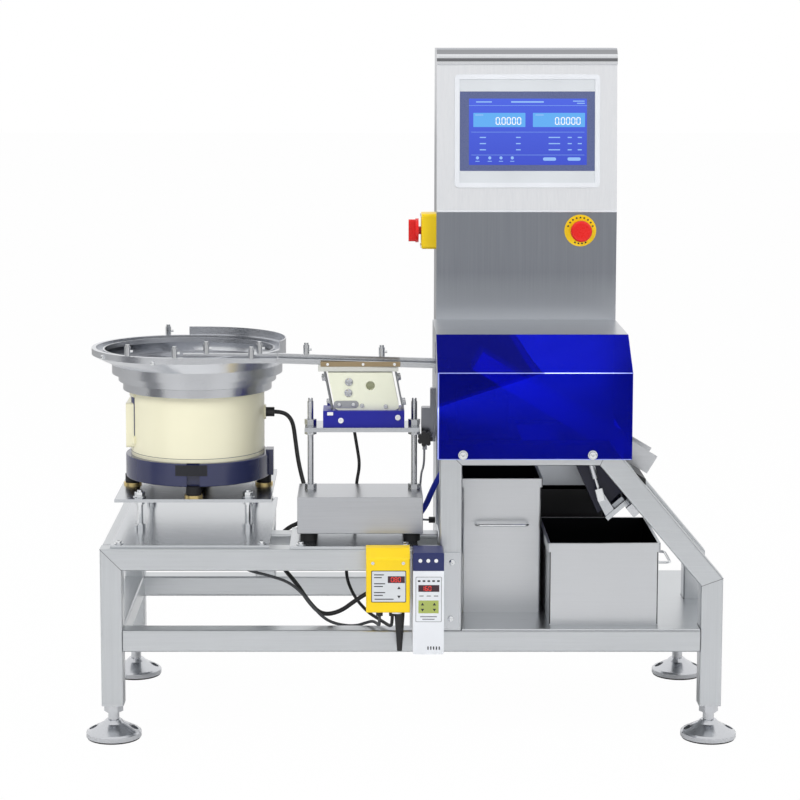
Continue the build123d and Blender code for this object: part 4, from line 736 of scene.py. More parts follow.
# How each finish is made
MAKERS = {
    "steel_upright": lambda name: brushed_steel(name, 2, STEEL),
    "steel_length": lambda name: brushed_steel(name, 0, STEEL),
    "steel_depth": lambda name: brushed_steel(name, 1, STEEL),
    "steel_plate": lambda name: brushed_steel(name, 0, tone(196, 199, 203), 0.22, 0.1),
    # the column gets painted reflection and painted shade on its front
    "steel_column": column_steel,
    # painted shade: the housing's inside is coloured dark grey
    "steel_housing": lambda name: chamber_steel(
        name, *within("housing", SHEET, SHEET, SHEET, SHEET), tone(64, 68, 82)
    ),
    # painted light: inside the chamber the chute is matt and near white
    "steel_chute": lambda name: chamber_steel(
        name, (None,) * 3, (high("housing").x - SHEET, None, None), tone(226, 229, 233)
    ),
    "steel_weight": lambda name: brushed_steel(name, 0, tone(188, 190, 194), 0.3, 0.18),
    # the bins get painted shade on their insides
    "steel_front_bin": lambda name: bin_steel(name, "front_bin", 0.0042, 0.0032),
    "steel_tall_bin": lambda name: bin_steel(name, "tall_bin", 0.0041, 0.0041),
    "steel_spring": lambda name: brushed_steel(name, 2, tone(140, 142, 146), 0.34, 0.12),
    "steel_bowl": lambda name: turned_steel(name, tone(214, 216, 220), 0.2),
    "steel_track": lambda name: brushed_steel(name, 0, tone(216, 218, 221), 0.2, 0.1),
    "steel_turned": lambda name: turned_steel(name, tone(205, 207, 211)),
    "steel_chrome": lambda name: turned_steel(name, BRIGHT, 0.08),
    "steel_dark": lambda name: turned_steel(name, tone(128, 130, 136), 0.18),
    "steel_thread": lambda name: threaded_steel(name, tone(212, 214, 217), 0.002),
    "cream": lambda name: enamel(name, colour("cream")),
    "block_cream": lambda name: enamel(name, tone(234, 236, 216), 0.36, 0.15),
    "mount_grey": lambda name: enamel(name, tone(205, 206, 200), 0.4, 0.1),
    "navy": lambda name: enamel(name, colour("navy"), 0.26, 0.4),
    "blue": lambda name: enamel(name, colour("blue"), 0.34, 0.0),
    "funnel": lambda name: enamel(name, tone(8, 11, 40), 0.4, 0.0),
    "brass": lambda name: turned_steel(name, tone(226, 180, 58), 0.24),
    "rubber": lambda name: moulded(name, tone(24, 24, 26), 0.62, 500.0),
    "black": lambda name: moulded(name, tone(20, 20, 22), 0.36),
    "yellow": lambda name: moulded(name, colour("yellow"), 0.34),
    "red": lambda name: moulded(name, colour("red"), 0.28),
    "white": lambda name: moulded(name, tone(236, 237, 238), 0.36),
    "panel_white": lambda name: moulded(name, tone(228, 231, 236), 0.3),
    "grey": lambda name: moulded(name, tone(150, 152, 156), 0.4),
    "slate": lambda name: moulded(name, tone(86, 96, 138), 0.28),
    "ink": lambda name: moulded(name, tone(36, 38, 44), 0.5),
    "label": lambda name: moulded(name, tone(214, 218, 222), 0.32),
    "tan": lambda name: moulded(name, tone(146, 128, 98), 0.5),
    "controller": lambda name: moulded(
        name, tone(232, 235, 240), 0.34, patches=[(((None, None, CAP_FOOT), (None,) * 3), tone(28, 38, 92))]
    ),
    "cover": lambda name: tinted_sheet(name, colour("cover"), 0.78),
    "display": lambda name: lit(name, tone(66, 98, 240), 0.85, tone(44, 72, 214), (1.02, 1.15)),
    "box_light": lambda name: lit(name, tone(92, 178, 250), 0.9),
    "figure_white": lambda name: lit(name, tone(250, 252, 255), 1.0),
    "pale_blue": lambda name: lit(name, tone(150, 196, 255), 0.9),
    "dark_red": lambda name: lit(name, tone(70, 8, 10), 0.5),
    "seam": lambda name: moulded(name, tone(92, 94, 98), 0.6),
    # painted highlight on the cover's crease and edges
    "edge": lambda name: moulded(name, tone(150, 162, 240), 0.2),
    "window": lambda name: moulded(name, tone(12, 14, 26), 0.3),
    "strip_blue": lambda name: moulded(name, tone(24, 34, 96), 0.34),
    "figure_red": lambda name: lit(name, tone(255, 60, 40), 1.0),
    "lime": lambda name: lit(name, tone(206, 222, 110), 0.6),
    "hose": lambda name: moulded(name, tone(18, 40, 170), 0.3),
    "tube": lambda name: moulded(name, tone(120, 122, 128), 0.36),
    "cable": lambda name: moulded(name, tone(26, 26, 28), 0.5, 700.0),
    "cable_grey": lambda name: moulded(name, tone(66, 68, 72), 0.5, 700.0),
}

# The finish of each part of the machine
NODE_FINISHES = {
    "legs": "steel_upright",
    "posts": "steel_upright",
    "long_rails": "steel_length",
    "cross_rails": "steel_depth",
    "sloping_members": "steel_length",
    "foot_soles": "rubber",
    "foot_pads": "steel_turned",
    "foot_stems": "steel_turned",
    "shelf": "steel_length",
    "front_bin": "steel_front_bin",
    "tall_bin": "steel_tall_bin",
    "rear_bin": "black",
    "bin_handles": "steel_chrome",
    "housing": "steel_housing",
    "cover": "cover",
    "load_cell": "black",
    "discharge_chute": "steel_chute",
    "chute_bracket": "black",
    "column": "steel_column",
    "screen_bezel": "panel_white",
    "screen_glass": "label",
    "stop_ring": "yellow",
    "stop_button": "red",
    "switch_box": "yellow",
    "switch_knob": "red",
    "mounting_plates": "steel_plate",
    "pillars": "steel_chrome",
    "foot_discs": "brass",
    "buffers": "rubber",
    "drive_base": "navy",
    "drive_drum": "cream",
    "flange_ring": "steel_turned",
    "bowl": "steel_bowl",
    "spiral_track": "steel_bowl",
    "rim_track": "steel_bowl",
    "back_band": "steel_bowl",
    "collars": "steel_chrome",
    "counterweight": "steel_weight",
    "threaded_rods": "steel_thread",
    "feeder_base": "blue",
    "drive_block": "block_cream",
    "leaf_springs": "steel_spring",
    "top_mount": "mount_grey",
    "straight_track": "steel_track",
    "reject_gate": "steel_plate",
    "reject_pins": "steel_turned",
    "reject_cylinder": "steel_turned",
    "reject_rod": "steel_chrome",
    "reject_funnel": "funnel",
    "stepped_controller": "yellow",
    "tall_controller": "controller",
    "regulator": "steel_dark",
    "star_knob": "black",
    "cable_glands": "black",
    "drum_cable": "cable",
    "feeder_cable": "cable",
    "sensor_cable": "cable_grey",
    "blue_hose": "hose",
    "air_tube": "tube",
}


def surface(name):
    """The material of this name, made at its first use."""
    return bpy.data.materials.get(name) or MAKERS[name](name)


class CHECKWEIGHER_OT_camera(bpy.types.Operator):
    """Sets the camera of the reference view: a long lens at eye height, pitched down and shifted"""

    bl_idname = "checkweigher.camera"
    bl_label = "Camera"

    def execute(self, context):
        lens = bpy.data.cameras.new("Camera")
        lens.sensor_width = 36.0
        lens.lens = 104.37
        lens.shift_x = 0.0474
        lens.shift_y = -0.112
        lens.clip_start = 0.1
        lens.clip_end = 30.0
        camera = bpy.data.objects.new("Camera", lens)
        camera.location = (-0.0890, -4.2919, 1.2696)
        camera.rotation_euler = (radians(83.2), 0.0, 0.0)
        context.scene.collection.objects.link(camera)
        context.scene.camera = camera
        return {"FINISHED"}


class CHECKWEIGHER_OT_finishes(bpy.types.Operator):
    """Gives each part of the machine its material"""

    bl_idname = "checkweigher.finishes"
    bl_label = "Finishes"

    def execute(self, context):
        missing = set(frame["nodes"]) - set(NODE_FINISHES)
        if missing:
            raise KeyError(f"no finish for {sorted(missing)}")
        for node, name in NODE_FINISHES.items():
            mesh = frame["nodes"][node].data
            mesh.materials.clear()
            mesh.materials.append(surface(name))
        return {"FINISHED"}


# Routes of the cords: X, distance behind the frame's front face and Z, in millimetres
CORDS = {
    "drum_cable": {
        "diameter": 8.0,
        "stiffness": "limp",
        "lay": "loose",
        "length": 0.641,
        "route": [
            (-255.5, 275, 557), (-240.5, 275, 556.5), (-227.5, 274, 548.5), (-219.5, 270, 534),
            (-215, 257, 503), (-209, 228, 468), (-198, 195, 432), (-186, 187, 396), (-198, 188, 364),
            (-232, 188, 350), (-256, 184, 318), (-240, 158, 286), (-209, 120, 260), (-187, 88, 234),
            (-163, 66, 215), (-130, 60, 222), (-100, 54, 246), (-77, 49, 262), (-64, 34, 266.5),
            (-62, 12, 267),
        ],
    },
    "feeder_cable": {
        "diameter": 6.0,
        "stiffness": "limp",
        "lay": "loose",
        "length": 0.567,
        "route": [
            (-106, 165, 574), (-106, 181, 573), (-105.5, 194, 561), (-104, 197, 536), (-98, 191, 502),
            (-93, 187, 470), (-100, 186, 436), (-101, 188, 390), (-105, 187, 345), (-115, 178, 304),
            (-120, 154, 268), (-104, 120, 236), (-79, 84, 216), (-57, 48, 211), (-43, 16, 210),
            (-37, -8, 213.5), (-35.5, -22, 223), (-35, -28, 238),
        ],
    },
    "sensor_cable": {
        "diameter": 5.5,
        "stiffness": "limp",
        "lay": "loose",
        "length": 0.401,
        "route": [
            (-330, 70, 340), (-328, 69.5, 324), (-318, 68, 310), (-296, 66, 298), (-262, 64, 290),
            (-222, 62, 278), (-192, 58, 252), (-172, 51, 226), (-152, 48, 209), (-128, 48, 201),
            (-101, 48, 199), (-82, 49, 205), (-70, 37, 211.5), (-62, 14, 213), (-58.5, -10, 215),
            (-58, -24, 224), (-58, -28, 238),
        ],
    },
    "blue_hose": {
        "diameter": 11.0,
        "stiffness": "medium",
        "lay": "loose",
        "length": 0.411,
        "route": [
            (82, 150, 536), (81.5, 151, 514), (73, 156, 486), (56, 164, 457), (41, 175, 424),
            (28, 189, 388), (0, 212, 350), (-29, 242, 324), (-40, 277, 310), (-27, 311, 303),
            (3, 331, 300), (40, 332, 300),
        ],
    },
    "air_tube": {
        "diameter": 4.0,
        "stiffness": "medium",
        "lay": "loose",
        "length": 0.337,
        "route": [
            (24, 80, 518.8), (24, 80.5, 503), (23.5, 96, 488), (22, 122, 474), (21, 152, 464),
            (20, 184, 440), (19, 206, 408), (16, 236, 380), (13, 272, 358), (12, 306, 343),
            (20, 326, 338), (40, 331, 336),
        ],
    },
}


class CHECKWEIGHER_OT_cords(bpy.types.Operator):
    """Lays the three cables, the hose and the air tube as round splines along their routes"""

    bl_idname = "checkweigher.cords"
    bl_label = "Cords"

    def execute(self, context):
        for node, cord in CORDS.items():
            route = [(x * MM, at_depth(depth), z * MM) for x, depth, z in cord["route"]]
            curve = bpy.data.curves.new(f"{node}_look", "CURVE")
            curve.dimensions = "3D"
            curve.bevel_depth = cord["diameter"] * MM / 2
            curve.bevel_resolution = 5
            curve.resolution_u = 10
            curve.use_fill_caps = True
            spline = curve.splines.new("NURBS")
            spline.points.add(len(route) - 1)
            spline.points.foreach_set("co", [v for point in route for v in (*point, 1.0)])
            spline.order_u = 3
            spline.use_endpoint_u = True
            curve.materials.append(surface(NODE_FINISHES[node]))
            obj = bpy.data.objects.new(f"{node}_look", curve)
            context.scene.collection.objects.link(obj)
            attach(obj, "machine")
            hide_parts(node)
        return {"FINISHED"}


# Mitres on the frame's front: X and Z of both ends, in millimetres
FRONT_SEAMS = (
    (-560, 352, -520, 312),
    (-520, 163, -520, 203),
    (520, 163, 520, 203),
    (50, 312, 50, 352),
    (50, 203, 90, 203),
    (50, 544, 90, 504),
    (354.2, 544, 335.5, 504),
    (560, 298.7, 520, 284.1),
)


class CHECKWEIGHER_OT_frame_details(bpy.types.Operator):
    """Adds the welded mitres of the frame, the bolts of its plates and the nuts of the pillars"""

    bl_idname = "checkweigher.frame_details"
    bl_label = "Frame details"

    def execute(self, context):
        line = sizes().seam_width
        front = (0, front_y, 0)
        seams = [
            placed(strip((x0 * MM, z0 * MM), (x1 * MM, z1 * MM), line, 0.00015), front, FRONT)
            for x0, z0, x1, z1 in FRONT_SEAMS
        ]
        piece("frame_mitres", seams, surface("seam"))
        bolt = cap_screw(sizes().bolt_radius, 0.005)
        washer = ring(0.0035, 0.0085, 0.0012, 0.0002)
        bolts = []
        for x, depth in ((-528, 25), (-270, 25), (-528, 435), (-270, 435), (-199.3, 18), (-11.1, 18)):
            bolts += [placed(washer, spot(x, depth, 357), UP), placed(bolt, spot(x, depth, 357.4), UP)]
        piece("table_bolts", bolts, surface("steel_chrome"))
        hexagon = placed(polygon(6, 0.0098, 0.0075, 0.0008), (0, 0, 0.0016), UP)
        nut = joined([ring(0.004, 0.0125, 0.0016, 0.0003), hexagon])
        end = lathe([(0, 0), (0.005, 0), (0.005, 0.0115), (0.0042, 0.0125), (0, 0.0125)], 20)
        nuts = []
        for x, depth in ((-301, 397.5), (-501, 152.5), (-501, 397.5), (-301, 152.5)):
            nuts += [placed(nut, spot(x, depth, 418), UP), placed(end, spot(x, depth, 418), UP)]
        piece("pillar_nuts", nuts, surface("steel_chrome"))
        places = ((72.4, 329.1), (70.3, 225.7))
        plate_bolts = [before(pan_screw(0.0055, 0.0035), "mounting_plates", x, z) for x, z in places]
        piece("controls_plate_bolts", plate_bolts, surface("steel_chrome"))
        return {"FINISHED"}


class CHECKWEIGHER_OT_head_details(bpy.types.Operator):
    """Adds the operator screen's picture, a painted highlight along the column's crease, the stop's marks
    and the switch's screws
    """

    bl_idname = "checkweigher.head_details"
    bl_label = "Head details"

    def execute(self, context):
        glass = frame["nodes"]["screen_glass"].data
        points = np.empty(len(glass.vertices) * 3)
        glass.vertices.foreach_get("co", points)
        front = (points.reshape(-1, 3) @ HEAD[2]).max()
        film = sizes().print_thickness

        def on_glass(x, z):
            """Place on the glass at this X and Z, in millimetres."""
            return (x * MM, (front - HEAD[2][2] * z * MM) / HEAD[2][1], z * MM)

        def bars(items, layer):
            """Flat prints at centre X and Z with a width and a height, all in millimetres."""
            return [
                placed(plate(wide * MM, high * MM, layer, corner * MM), on_glass(x, z), HEAD)
                for x, z, wide, high, corner in items
            ]

        piece("screen_band", bars([(223, 1087, 255, 150, 1)], film * 0.7), surface("slate"))
        picture = bars([(224, 1086, 222.9, 125.4, 0.5)], film * 1.2)
        piece("screen_display", picture, surface("display"))
        boxes = bars([(170.1, 1108.2, 98.6, 27, 1), (282.6, 1108.2, 98.7, 27, 1)], film * 1.6)
        piece("screen_boxes", boxes, surface("box_light"))
        lines = [(224, 1135.2, 222.9, 0.7, 0.1), (224, 1085.4, 214, 0.7, 0.1), (224, 1042.4, 214, 0.7, 0.1)]
        lines += [(141, 1142, 30, 2.4, 0.5), (223, 1142, 62, 3, 0.5)]
        lines += [(320, 1143.5, 22, 2, 0.5), (324, 1139.4, 15, 2, 0.5)]
        lines += [
            (x, z, wide, 2.2, 0.4)
            for x, wide in ((139, 12), (206, 9), (274, 22), (303, 8), (322, 8))
            for z in (1075.4, 1063.8, 1052.2)
        ]
        lines += [(132, 1117.5, 16, 2.2, 0.4), (246, 1117.5, 16, 2.2, 0.4)]
        for x in (128.9, 152.1, 173.3, 194.6):
            lines += [(x, 1037, 6, 6, 2.9), (x, 1030.6, 8, 1.4, 0.3)]
        lines += [(265, 1034.8, 25, 6.4, 3.1), (311.3, 1034.8, 25, 6.4, 3.1)]
        piece("screen_marks", bars(lines, film * 1.9), surface("pale_blue"))
        reading = figures("0.0000", 0.0125, film * 2.2)
        values = [placed(reading, on_glass(x, 1100), HEAD) for x in (164, 276)]
        piece("screen_values", values, surface("figure_white"))

        # painted highlight: a thin white rod along the column's crease
        bend_y = low("column").y - 0.0001
        left, right = low("column").x + 0.0006, high("column").x - 0.0006
        crease = tube_along([(left, bend_y, CREASE), (right, bend_y, CREASE)], 0.0016)
        piece("column_crease_highlight", [crease], surface("panel_white"))
        centre = (0.324, low("stop_ring").y, 0.9)
        turns = radians(1) * np.array([20, 38, 55, 73, 90, 107, 125, 142, 160, 246, 262, 278, 294])
        marks = [
            placed(curved_plate(0.0232, turn - 0.06, turn + 0.06, 0, film, 0.003, 4), centre, FRONT)
            for turn in turns
        ]
        piece("stop_ring_marks", marks, surface("ink"))
        screws = [
            seated(pan_screw(0.0028, 0.0016), "switch_box", (-0.6, at_depth(depth), z * MM), (1, 0, 0))
            for depth in (331, 373) for z in (867, 925)
        ]
        piece("switch_screws", screws, surface("steel_chrome"))
        return {"FINISHED"}


class CHECKWEIGHER_OT_cover_details(bpy.types.Operator):
    """Adds painted highlights along the cover's crease and its left and bottom edges, and its two screws"""

    bl_idname = "checkweigher.cover_details"
    bl_label = "Cover details"

    def execute(self, context):
        lo, hi = box["cover"]
        front = lo.y
        crease = 0.672
        # painted highlights: light blue strips along the cover's crease, left side and foot
        bend = [(lo.x + 0.0008, front - 0.0002, crease), (hi.x - 0.0008, front - 0.0002, crease)]
        side = strip((lo.x + 0.0014, lo.z + 0.001), (lo.x + 0.0014, crease), 0.0024, 0.0002)
        foot = strip((lo.x + 0.001, lo.z + 0.0008), (hi.x - 0.001, lo.z + 0.0008), 0.0012, 0.0002)
        edges = [tube_along(bend, 0.0009), *(placed(line, (0, front, 0), FRONT) for line in (side, foot))]
        piece("cover_edge_highlights", edges, surface("edge"))
        radius = sizes().screw_radius
        shapes = []
        for x in (90.9, 321.9):
            shapes += [
                before(ring(0.003, radius * 1.25, 0.001, 0.0002), "cover", x, 524.5),
                placed(pan_screw(radius, 0.004), (x * MM, front - 0.0008, 0.5245), FRONT),
            ]
        piece("cover_screws", shapes, surface("steel_chrome"))
        return {"FINISHED"}


class CHECKWEIGHER_OT_bowl_details(bpy.types.Operator):
    """Adds the strip, lugs and seam of the bowl drive, its base's window and the bolts of the bowl's rim"""

    bl_idname = "checkweigher.bowl_details"
    bl_label = "Bowl details"

    def execute(self, context):
        centre = np.array(spot(-401, 275, 0))
        drum = 0.1265
        strip_blue = curved_plate(drum - 0.0005, radians(196), radians(205), 0.520, 0.592, 0.0016)
        piece("drum_strip", [placed(strip_blue, centre, UP)], surface("strip_blue"))
        lugs = [
            placed(curved_plate(drum - 0.001, radians(194), radians(207), foot, top, 0.0045), centre, UP)
            for foot, top in ((0.5935, 0.6025), (0.5045, 0.5175))
        ]
        piece("drum_lugs", lugs, surface("cream"))
        seam = ring(drum - 0.0003, drum + 0.0003, 0.0008, 0.0001, 90)
        piece("drum_seam", [placed(seam, centre + (0, 0, 0.4875), UP)], surface("seam"))
        window = curved_plate(0.1363, radians(256), radians(281), 0.4585, 0.4785, 0.0006, 20)
        piece("base_window", [placed(window, centre, UP)], surface("window"))
        places = ((-471, 673), (-345, 673), (-283, 671), (-569, 675))
        bolts = [before(pan_screw(0.0044, 0.004), "rim_track", x, z) for x, z in places]
        piece("rim_bolts", bolts, surface("steel_chrome"))
        return {"FINISHED"}


class CHECKWEIGHER_OT_feeder_details(bpy.types.Operator):
    """Adds the linear feeder's strip, clip, screws, spring bolts and rod ends"""

    bl_idname = "checkweigher.feeder_details"
    bl_label = "Feeder details"

    def execute(self, context):
        mount = low("top_mount").y
        strip_tan = panel(-92, 673.5, 145, 9, 0.0012, FRONT, (0, mount, 0))
        piece("feeder_strip", [strip_tan], surface("tan"))
        small = pan_screw(0.0026, 0.0018)
        screws = [placed(small, (x * MM, mount - 0.0012, 0.6732), FRONT) for x in (-151.6, -87.1, -30)]
        piece("strip_screws", screws, surface("white"))
        rise = [(0, 0), (0.0072, 0), (0.0072, 0.002), (0.0062, 0.003)]
        dished = lathe([*rise, (0.0045, 0.002), (0.0045, 0.0012), (0, 0.001)], 24)
        shapes = [before(dished, "drive_block", x, z) for x, z in ((-113, 641), (-114, 621))]
        low_screw = cap_screw(0.0036, 0.003)
        shapes += [before(low_screw, "drive_block", x, z) for x, z in ((-89, 597.6), (-46, 596.4))]
        piece("block_bolts", shapes, surface("steel_turned"))
        clip = before(plate(0.0457, 0.0132, 0.0015, 0.0065), "drive_block", -118, 599.6)
        piece("block_clip", [clip], surface("grey"))
        clip_front = low("drive_block").y - 0.0014
        pins = [placed(cap_screw(0.0034, 0.003), (x * MM, clip_front, 0.5996), FRONT) for x in (-130.6, -105)]
        piece("clip_screws", pins, surface("steel_chrome"))
        bolt = hex_bolt(0.010, 0.006)
        hexes = [
            seated(bolt, "leaf_springs", (start, y * MM, height * MM), (way, 0, 0))
            for height in (647, 601)
            for y in (-105, -85)
            for start, way in ((-0.4, 1), (0.2, -1))
        ]
        piece("spring_bolts", hexes, surface("steel_turned"))
        round_bolt = cap_screw(0.005, 0.003)
        whites = [before(round_bolt, "feeder_base", x, z) for x, z in ((-127.6, 571.5), (-24, 577))]
        whites.append(before(plate(0.011, 0.006, 0.002, 0.001), "feeder_base", -147, 584))
        piece("base_bolts", whites, surface("white"))
        tops = [placed(slotted_stud(0.0045, 0.006), (x * MM, -0.095, 0.602), UP) for x in (-183.5, 6.5)]
        piece("rod_ends", tops, surface("steel_turned"))
        return {"FINISHED"}


class CHECKWEIGHER_OT_control_details(bpy.types.Operator):
    """Adds the labels, displays, keys and vents of the two vibration controllers"""

    bl_idname = "checkweigher.control_details"
    bl_label = "Control details"

    def execute(self, context):
        film = sizes().print_thickness
        up = [(-0.003, -0.002), (0.003, -0.002), (0.0, 0.003)]
        down = [(-0.003, 0.002), (0.0, -0.003), (0.003, 0.002)]

        def on_front(kind, x=0.0, z=0.0):
            """Place on a controller's front at this X and Z, in millimetres."""
            return (x * MM, low(f"{kind}_controller").y, z * MM)

        def prints(kind, items, layer, corner=0.5):
            """Flat prints at centre X and Z with a width and a height, all in millimetres."""
            return [panel(*item, film * layer, FRONT, on_front(kind), corner * MM) for item in items]

        def printed(kind, part, item, layer, look, corner=0.5):
            """One flat print on a controller's front, as a piece of its own."""
            piece(f"{kind}_{part}", prints(kind, [item], layer, corner), surface(look))

        printed("stepped", "outline", (-41.9, 297.8, 62, 57.6), 1, "ink", 2)
        printed("stepped", "label", (-41.9, 297.8, 59.6, 55.2), 1.4, "label", 1.5)
        printed("stepped", "display", (-28.4, 310.4, 30.4, 12.4), 2.2, "dark_red")
        value = placed(figures("080", 0.008, film * 2.8), on_front("stepped", -37.5, 306.4), FRONT)
        piece("stepped_value", [value], surface("figure_red"))
        marks = [placed(slab(up, film * 2), on_front("stepped", -23.7, 295.4), FRONT)]
        marks.append(placed(slab(down, film * 2), on_front("stepped", -23.7, 279.4), FRONT))
        rows = [(-59, 319, 18), (-61, 314, 14), (-58, 303, 20), (-60, 298, 16)]
        rows += [(-58, 287, 20), (-60, 282, 16), (-50, 275, 34)]
        marks += prints("stepped", [(*row, 2) for row in rows], 2)
        piece("stepped_marks", marks, surface("ink"))
        screws = [before(pan_screw(0.0032, 0.0018), "stepped_controller", x, 340) for x in (-70, -16)]
        screws.append(placed(ring(0.0092, 0.0118, 0.006, 0.0008), (-0.027, -0.243, 0.2435), UP))
        piece("stepped_screws", screws, surface("steel_chrome"))

        printed("tall", "outline", (28.9, 275.2, 46.5, 82), 1, "grey", 2)
        printed("tall", "label", (28.9, 275.2, 44.6, 80), 1.4, "panel_white", 1.5)
        printed("tall", "display", (29.1, 295.2, 37.3, 12.4), 2.2, "dark_red")
        value = placed(figures("160", 0.008, film * 2.8), on_front("tall", 16.5, 291.2), FRONT)
        piece("tall_value", [value], surface("figure_red"))
        printed("tall", "keypad", (28.6, 261.8, 36.2, 23.6), 2, "lime")
        marks = prints("tall", [(x, 308.5, 5, 3.4) for x in (12, 20.5, 29, 37.5, 46)], 2)
        marks += prints("tall", [(x, 281.5, 8, 1.6) for x in (16, 29, 42)], 2)
        for arrow, z in ((up, 266.5), (down, 256.5)):
            marks += [placed(slab(arrow, film * 2.8), on_front("tall", x, z), FRONT) for x in (18, 39)]
        marks += prints("tall", [(28.6, 244, 30, 1.6), (28.6, 239.5, 22, 1.6)], 2)
        marks += prints("tall", [(x, 187, 2.2, 6) for x in (28, 33, 38, 43, 48)], 1.5)
        piece("tall_marks", marks, surface("ink"))
        cap = lathe([(0, 0), (0.0034, 0), (0.0034, 0.0007), (0.0026, 0.001), (0, 0.001)], 20)
        fittings = [before(cap, "tall_controller", x, 345) for x in (14, 28, 42)]
        piece("tall_fittings", fittings, surface("white"))
        return {"FINISHED"}


def stage_sheet(name, wide, high, place, facing, material):
    """A flat rectangle of the stage, centred at a place."""
    corners = np.array([(-wide, -high, 0), (wide, -high, 0), (wide, high, 0), (-wide, high, 0)]) / 2
    mesh = bpy.data.meshes.new(name)
    mesh.from_pydata((corners @ facing + place).tolist(), [], [(0, 1, 2, 3)])
    mesh.materials.append(material)
    sheet = bpy.data.objects.new(name, mesh)
    bpy.context.scene.collection.objects.link(sheet)
    return sheet


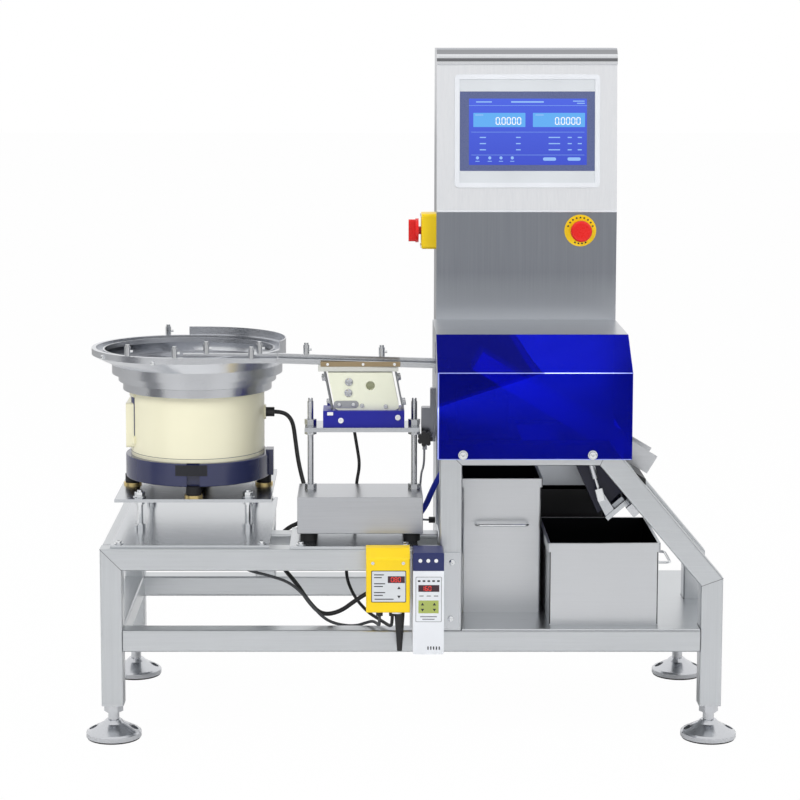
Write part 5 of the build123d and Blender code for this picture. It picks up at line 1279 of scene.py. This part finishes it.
class CHECKWEIGHER_OT_studio(bpy.types.Operator):
    """White studio: an even surround, soft lamps, dark cards for the steel to mirror, and a pale floor"""

    bl_idname = "checkweigher.studio"
    bl_label = "Studio"

    def execute(self, context):
        scene = context.scene
        scene.view_settings.view_transform = "Standard"
        world = bpy.data.worlds.new("Studio")
        world.use_nodes = True
        tree = world.node_tree
        tree.nodes.clear()
        rays = tree.nodes.new("ShaderNodeLightPath")
        share = rays.outputs["Is Camera Ray"]
        for ray in ("Is Glossy Ray", "Is Transmission Ray"):
            either = tree.nodes.new("ShaderNodeMath")
            either.operation = "MAXIMUM"
            tree.links.new(share, either.inputs[0])
            tree.links.new(rays.outputs[ray], either.inputs[1])
            share = either.outputs[0]
        mix = tree.nodes.new("ShaderNodeMixShader")
        tree.links.new(share, mix.inputs[0])
        for socket, strength in ((1, 0.42), (2, 1.0)):
            white = tree.nodes.new("ShaderNodeBackground")
            white.inputs["Color"].default_value = (1, 1, 1, 1)
            white.inputs["Strength"].default_value = strength
            tree.links.new(white.outputs[0], mix.inputs[socket])
        output = tree.nodes.new("ShaderNodeOutputWorld")
        tree.links.new(mix.outputs[0], output.inputs["Surface"])
        scene.world = world
        for name, place, aim, power, size in (
            ("Key", (-2.2, -3.2, 3.4), (0.0, 0.0, 0.5), 95.0, 2.2),
            ("Fill", (2.8, -2.6, 2.2), (0.0, 0.0, 0.5), 45.0, 2.6),
            ("Top", (0.0, 0.6, 3.6), (0.0, 0.0, 0.4), 50.0, 2.4),
            ("Chamber", (0.22, -0.185, 0.70), (0.26, -0.08, 0.58), 0.75, 0.3),
        ):
            lamp = bpy.data.lights.new(name, "AREA")
            lamp.energy = power
            lamp.size = size
            obj = bpy.data.objects.new(name, lamp)
            obj.location = place
            obj.rotation_euler = (Vector(aim) - Vector(place)).to_track_quat("-Z", "Y").to_euler()
            obj.visible_glossy = False
            obj.visible_camera = False
            scene.collection.objects.link(obj)
        ground = Finish("floor")
        seen = ground.wire("ShaderNodeLightPath", output="Is Camera Ray")
        paper = ground.wire("ShaderNodeBsdfDiffuse", {}, {"Color": (0.9, 0.9, 0.9, 1)})
        glow = ground.wire("ShaderNodeEmission", {}, {"Color": (1, 1, 1, 1), "Strength": 1.0})
        blend = ground.wire("ShaderNodeMixShader", {}, {0: seen * 0.985, 1: paper, 2: glow})
        ground.tree.links.new(blend.socket, ground.output.inputs["Surface"])
        stage_sheet("Floor", 60.0, 60.0, (0.0, 0.0, 0.0), UP, ground.material)
        dark = Finish("card")
        shade = dark.wire("ShaderNodeEmission", {}, {"Color": (0.16, 0.165, 0.18, 1), "Strength": 1.0})
        dark.tree.links.new(shade.socket, dark.output.inputs["Surface"])
        for name, place, wide, high, facing in (
            ("Card_left", (-2.6, -1.2, 0.9), 1.3, 2.4, RIGHT),
            ("Card_right", (2.6, -1.2, 0.9), 1.3, 2.4, LEFT),
            ("Card_low", (0.0, -5.4, 0.35), 3.6, 0.5, BACK),
            ("Card_high", (0.0, -2.4, 3.2), 3.0, 0.5, DOWN),
        ):
            card = stage_sheet(name, wide, high, place, facing, dark.material)
            card.visible_camera = False
            card.visible_diffuse = False
            card.visible_shadow = False
            card.visible_transmission = False
        return {"FINISHED"}


class CHECKWEIGHER_PT_panel(bpy.types.Panel):
    """Lists the steps that make up the look"""

    bl_idname = "CHECKWEIGHER_PT_panel"
    bl_label = "Checkweigher"
    bl_space_type = "VIEW_3D"
    bl_region_type = "UI"
    bl_category = "Checkweigher"

    def draw(self, context):
        for group in (context.scene.checkweigher_sizes, context.scene.checkweigher_colours):
            for key in group.bl_rna.properties.keys():
                if key not in ("rna_type", "name"):
                    self.layout.prop(group, key)
        for operator in OPERATORS:
            self.layout.operator(operator.bl_idname)


OPERATORS = (
    CHECKWEIGHER_OT_camera,
    CHECKWEIGHER_OT_cords,
    CHECKWEIGHER_OT_finishes,
    CHECKWEIGHER_OT_frame_details,
    CHECKWEIGHER_OT_head_details,
    CHECKWEIGHER_OT_cover_details,
    CHECKWEIGHER_OT_bowl_details,
    CHECKWEIGHER_OT_feeder_details,
    CHECKWEIGHER_OT_control_details,
    CHECKWEIGHER_OT_studio,
)


def register():
    """Adds the settings, the operators and the panel."""
    for item in (Sizes, Colours, *OPERATORS, CHECKWEIGHER_PT_panel):
        bpy.utils.register_class(item)
    bpy.types.Scene.checkweigher_sizes = bpy.props.PointerProperty(type=Sizes)
    bpy.types.Scene.checkweigher_colours = bpy.props.PointerProperty(type=Colours)


def unregister():
    """Takes them away again."""
    del bpy.types.Scene.checkweigher_colours
    del bpy.types.Scene.checkweigher_sizes
    for item in reversed((Sizes, Colours, *OPERATORS, CHECKWEIGHER_PT_panel)):
        bpy.utils.unregister_class(item)


def main():
    """Builds the whole look."""
    register()
    for operator in OPERATORS:
        group, step = operator.bl_idname.split(".")
        if getattr(getattr(bpy.ops, group), step)() != {"FINISHED"}:
            raise RuntimeError(f"{operator.bl_label} did not finish")


if __name__ == "__main__":
    main()
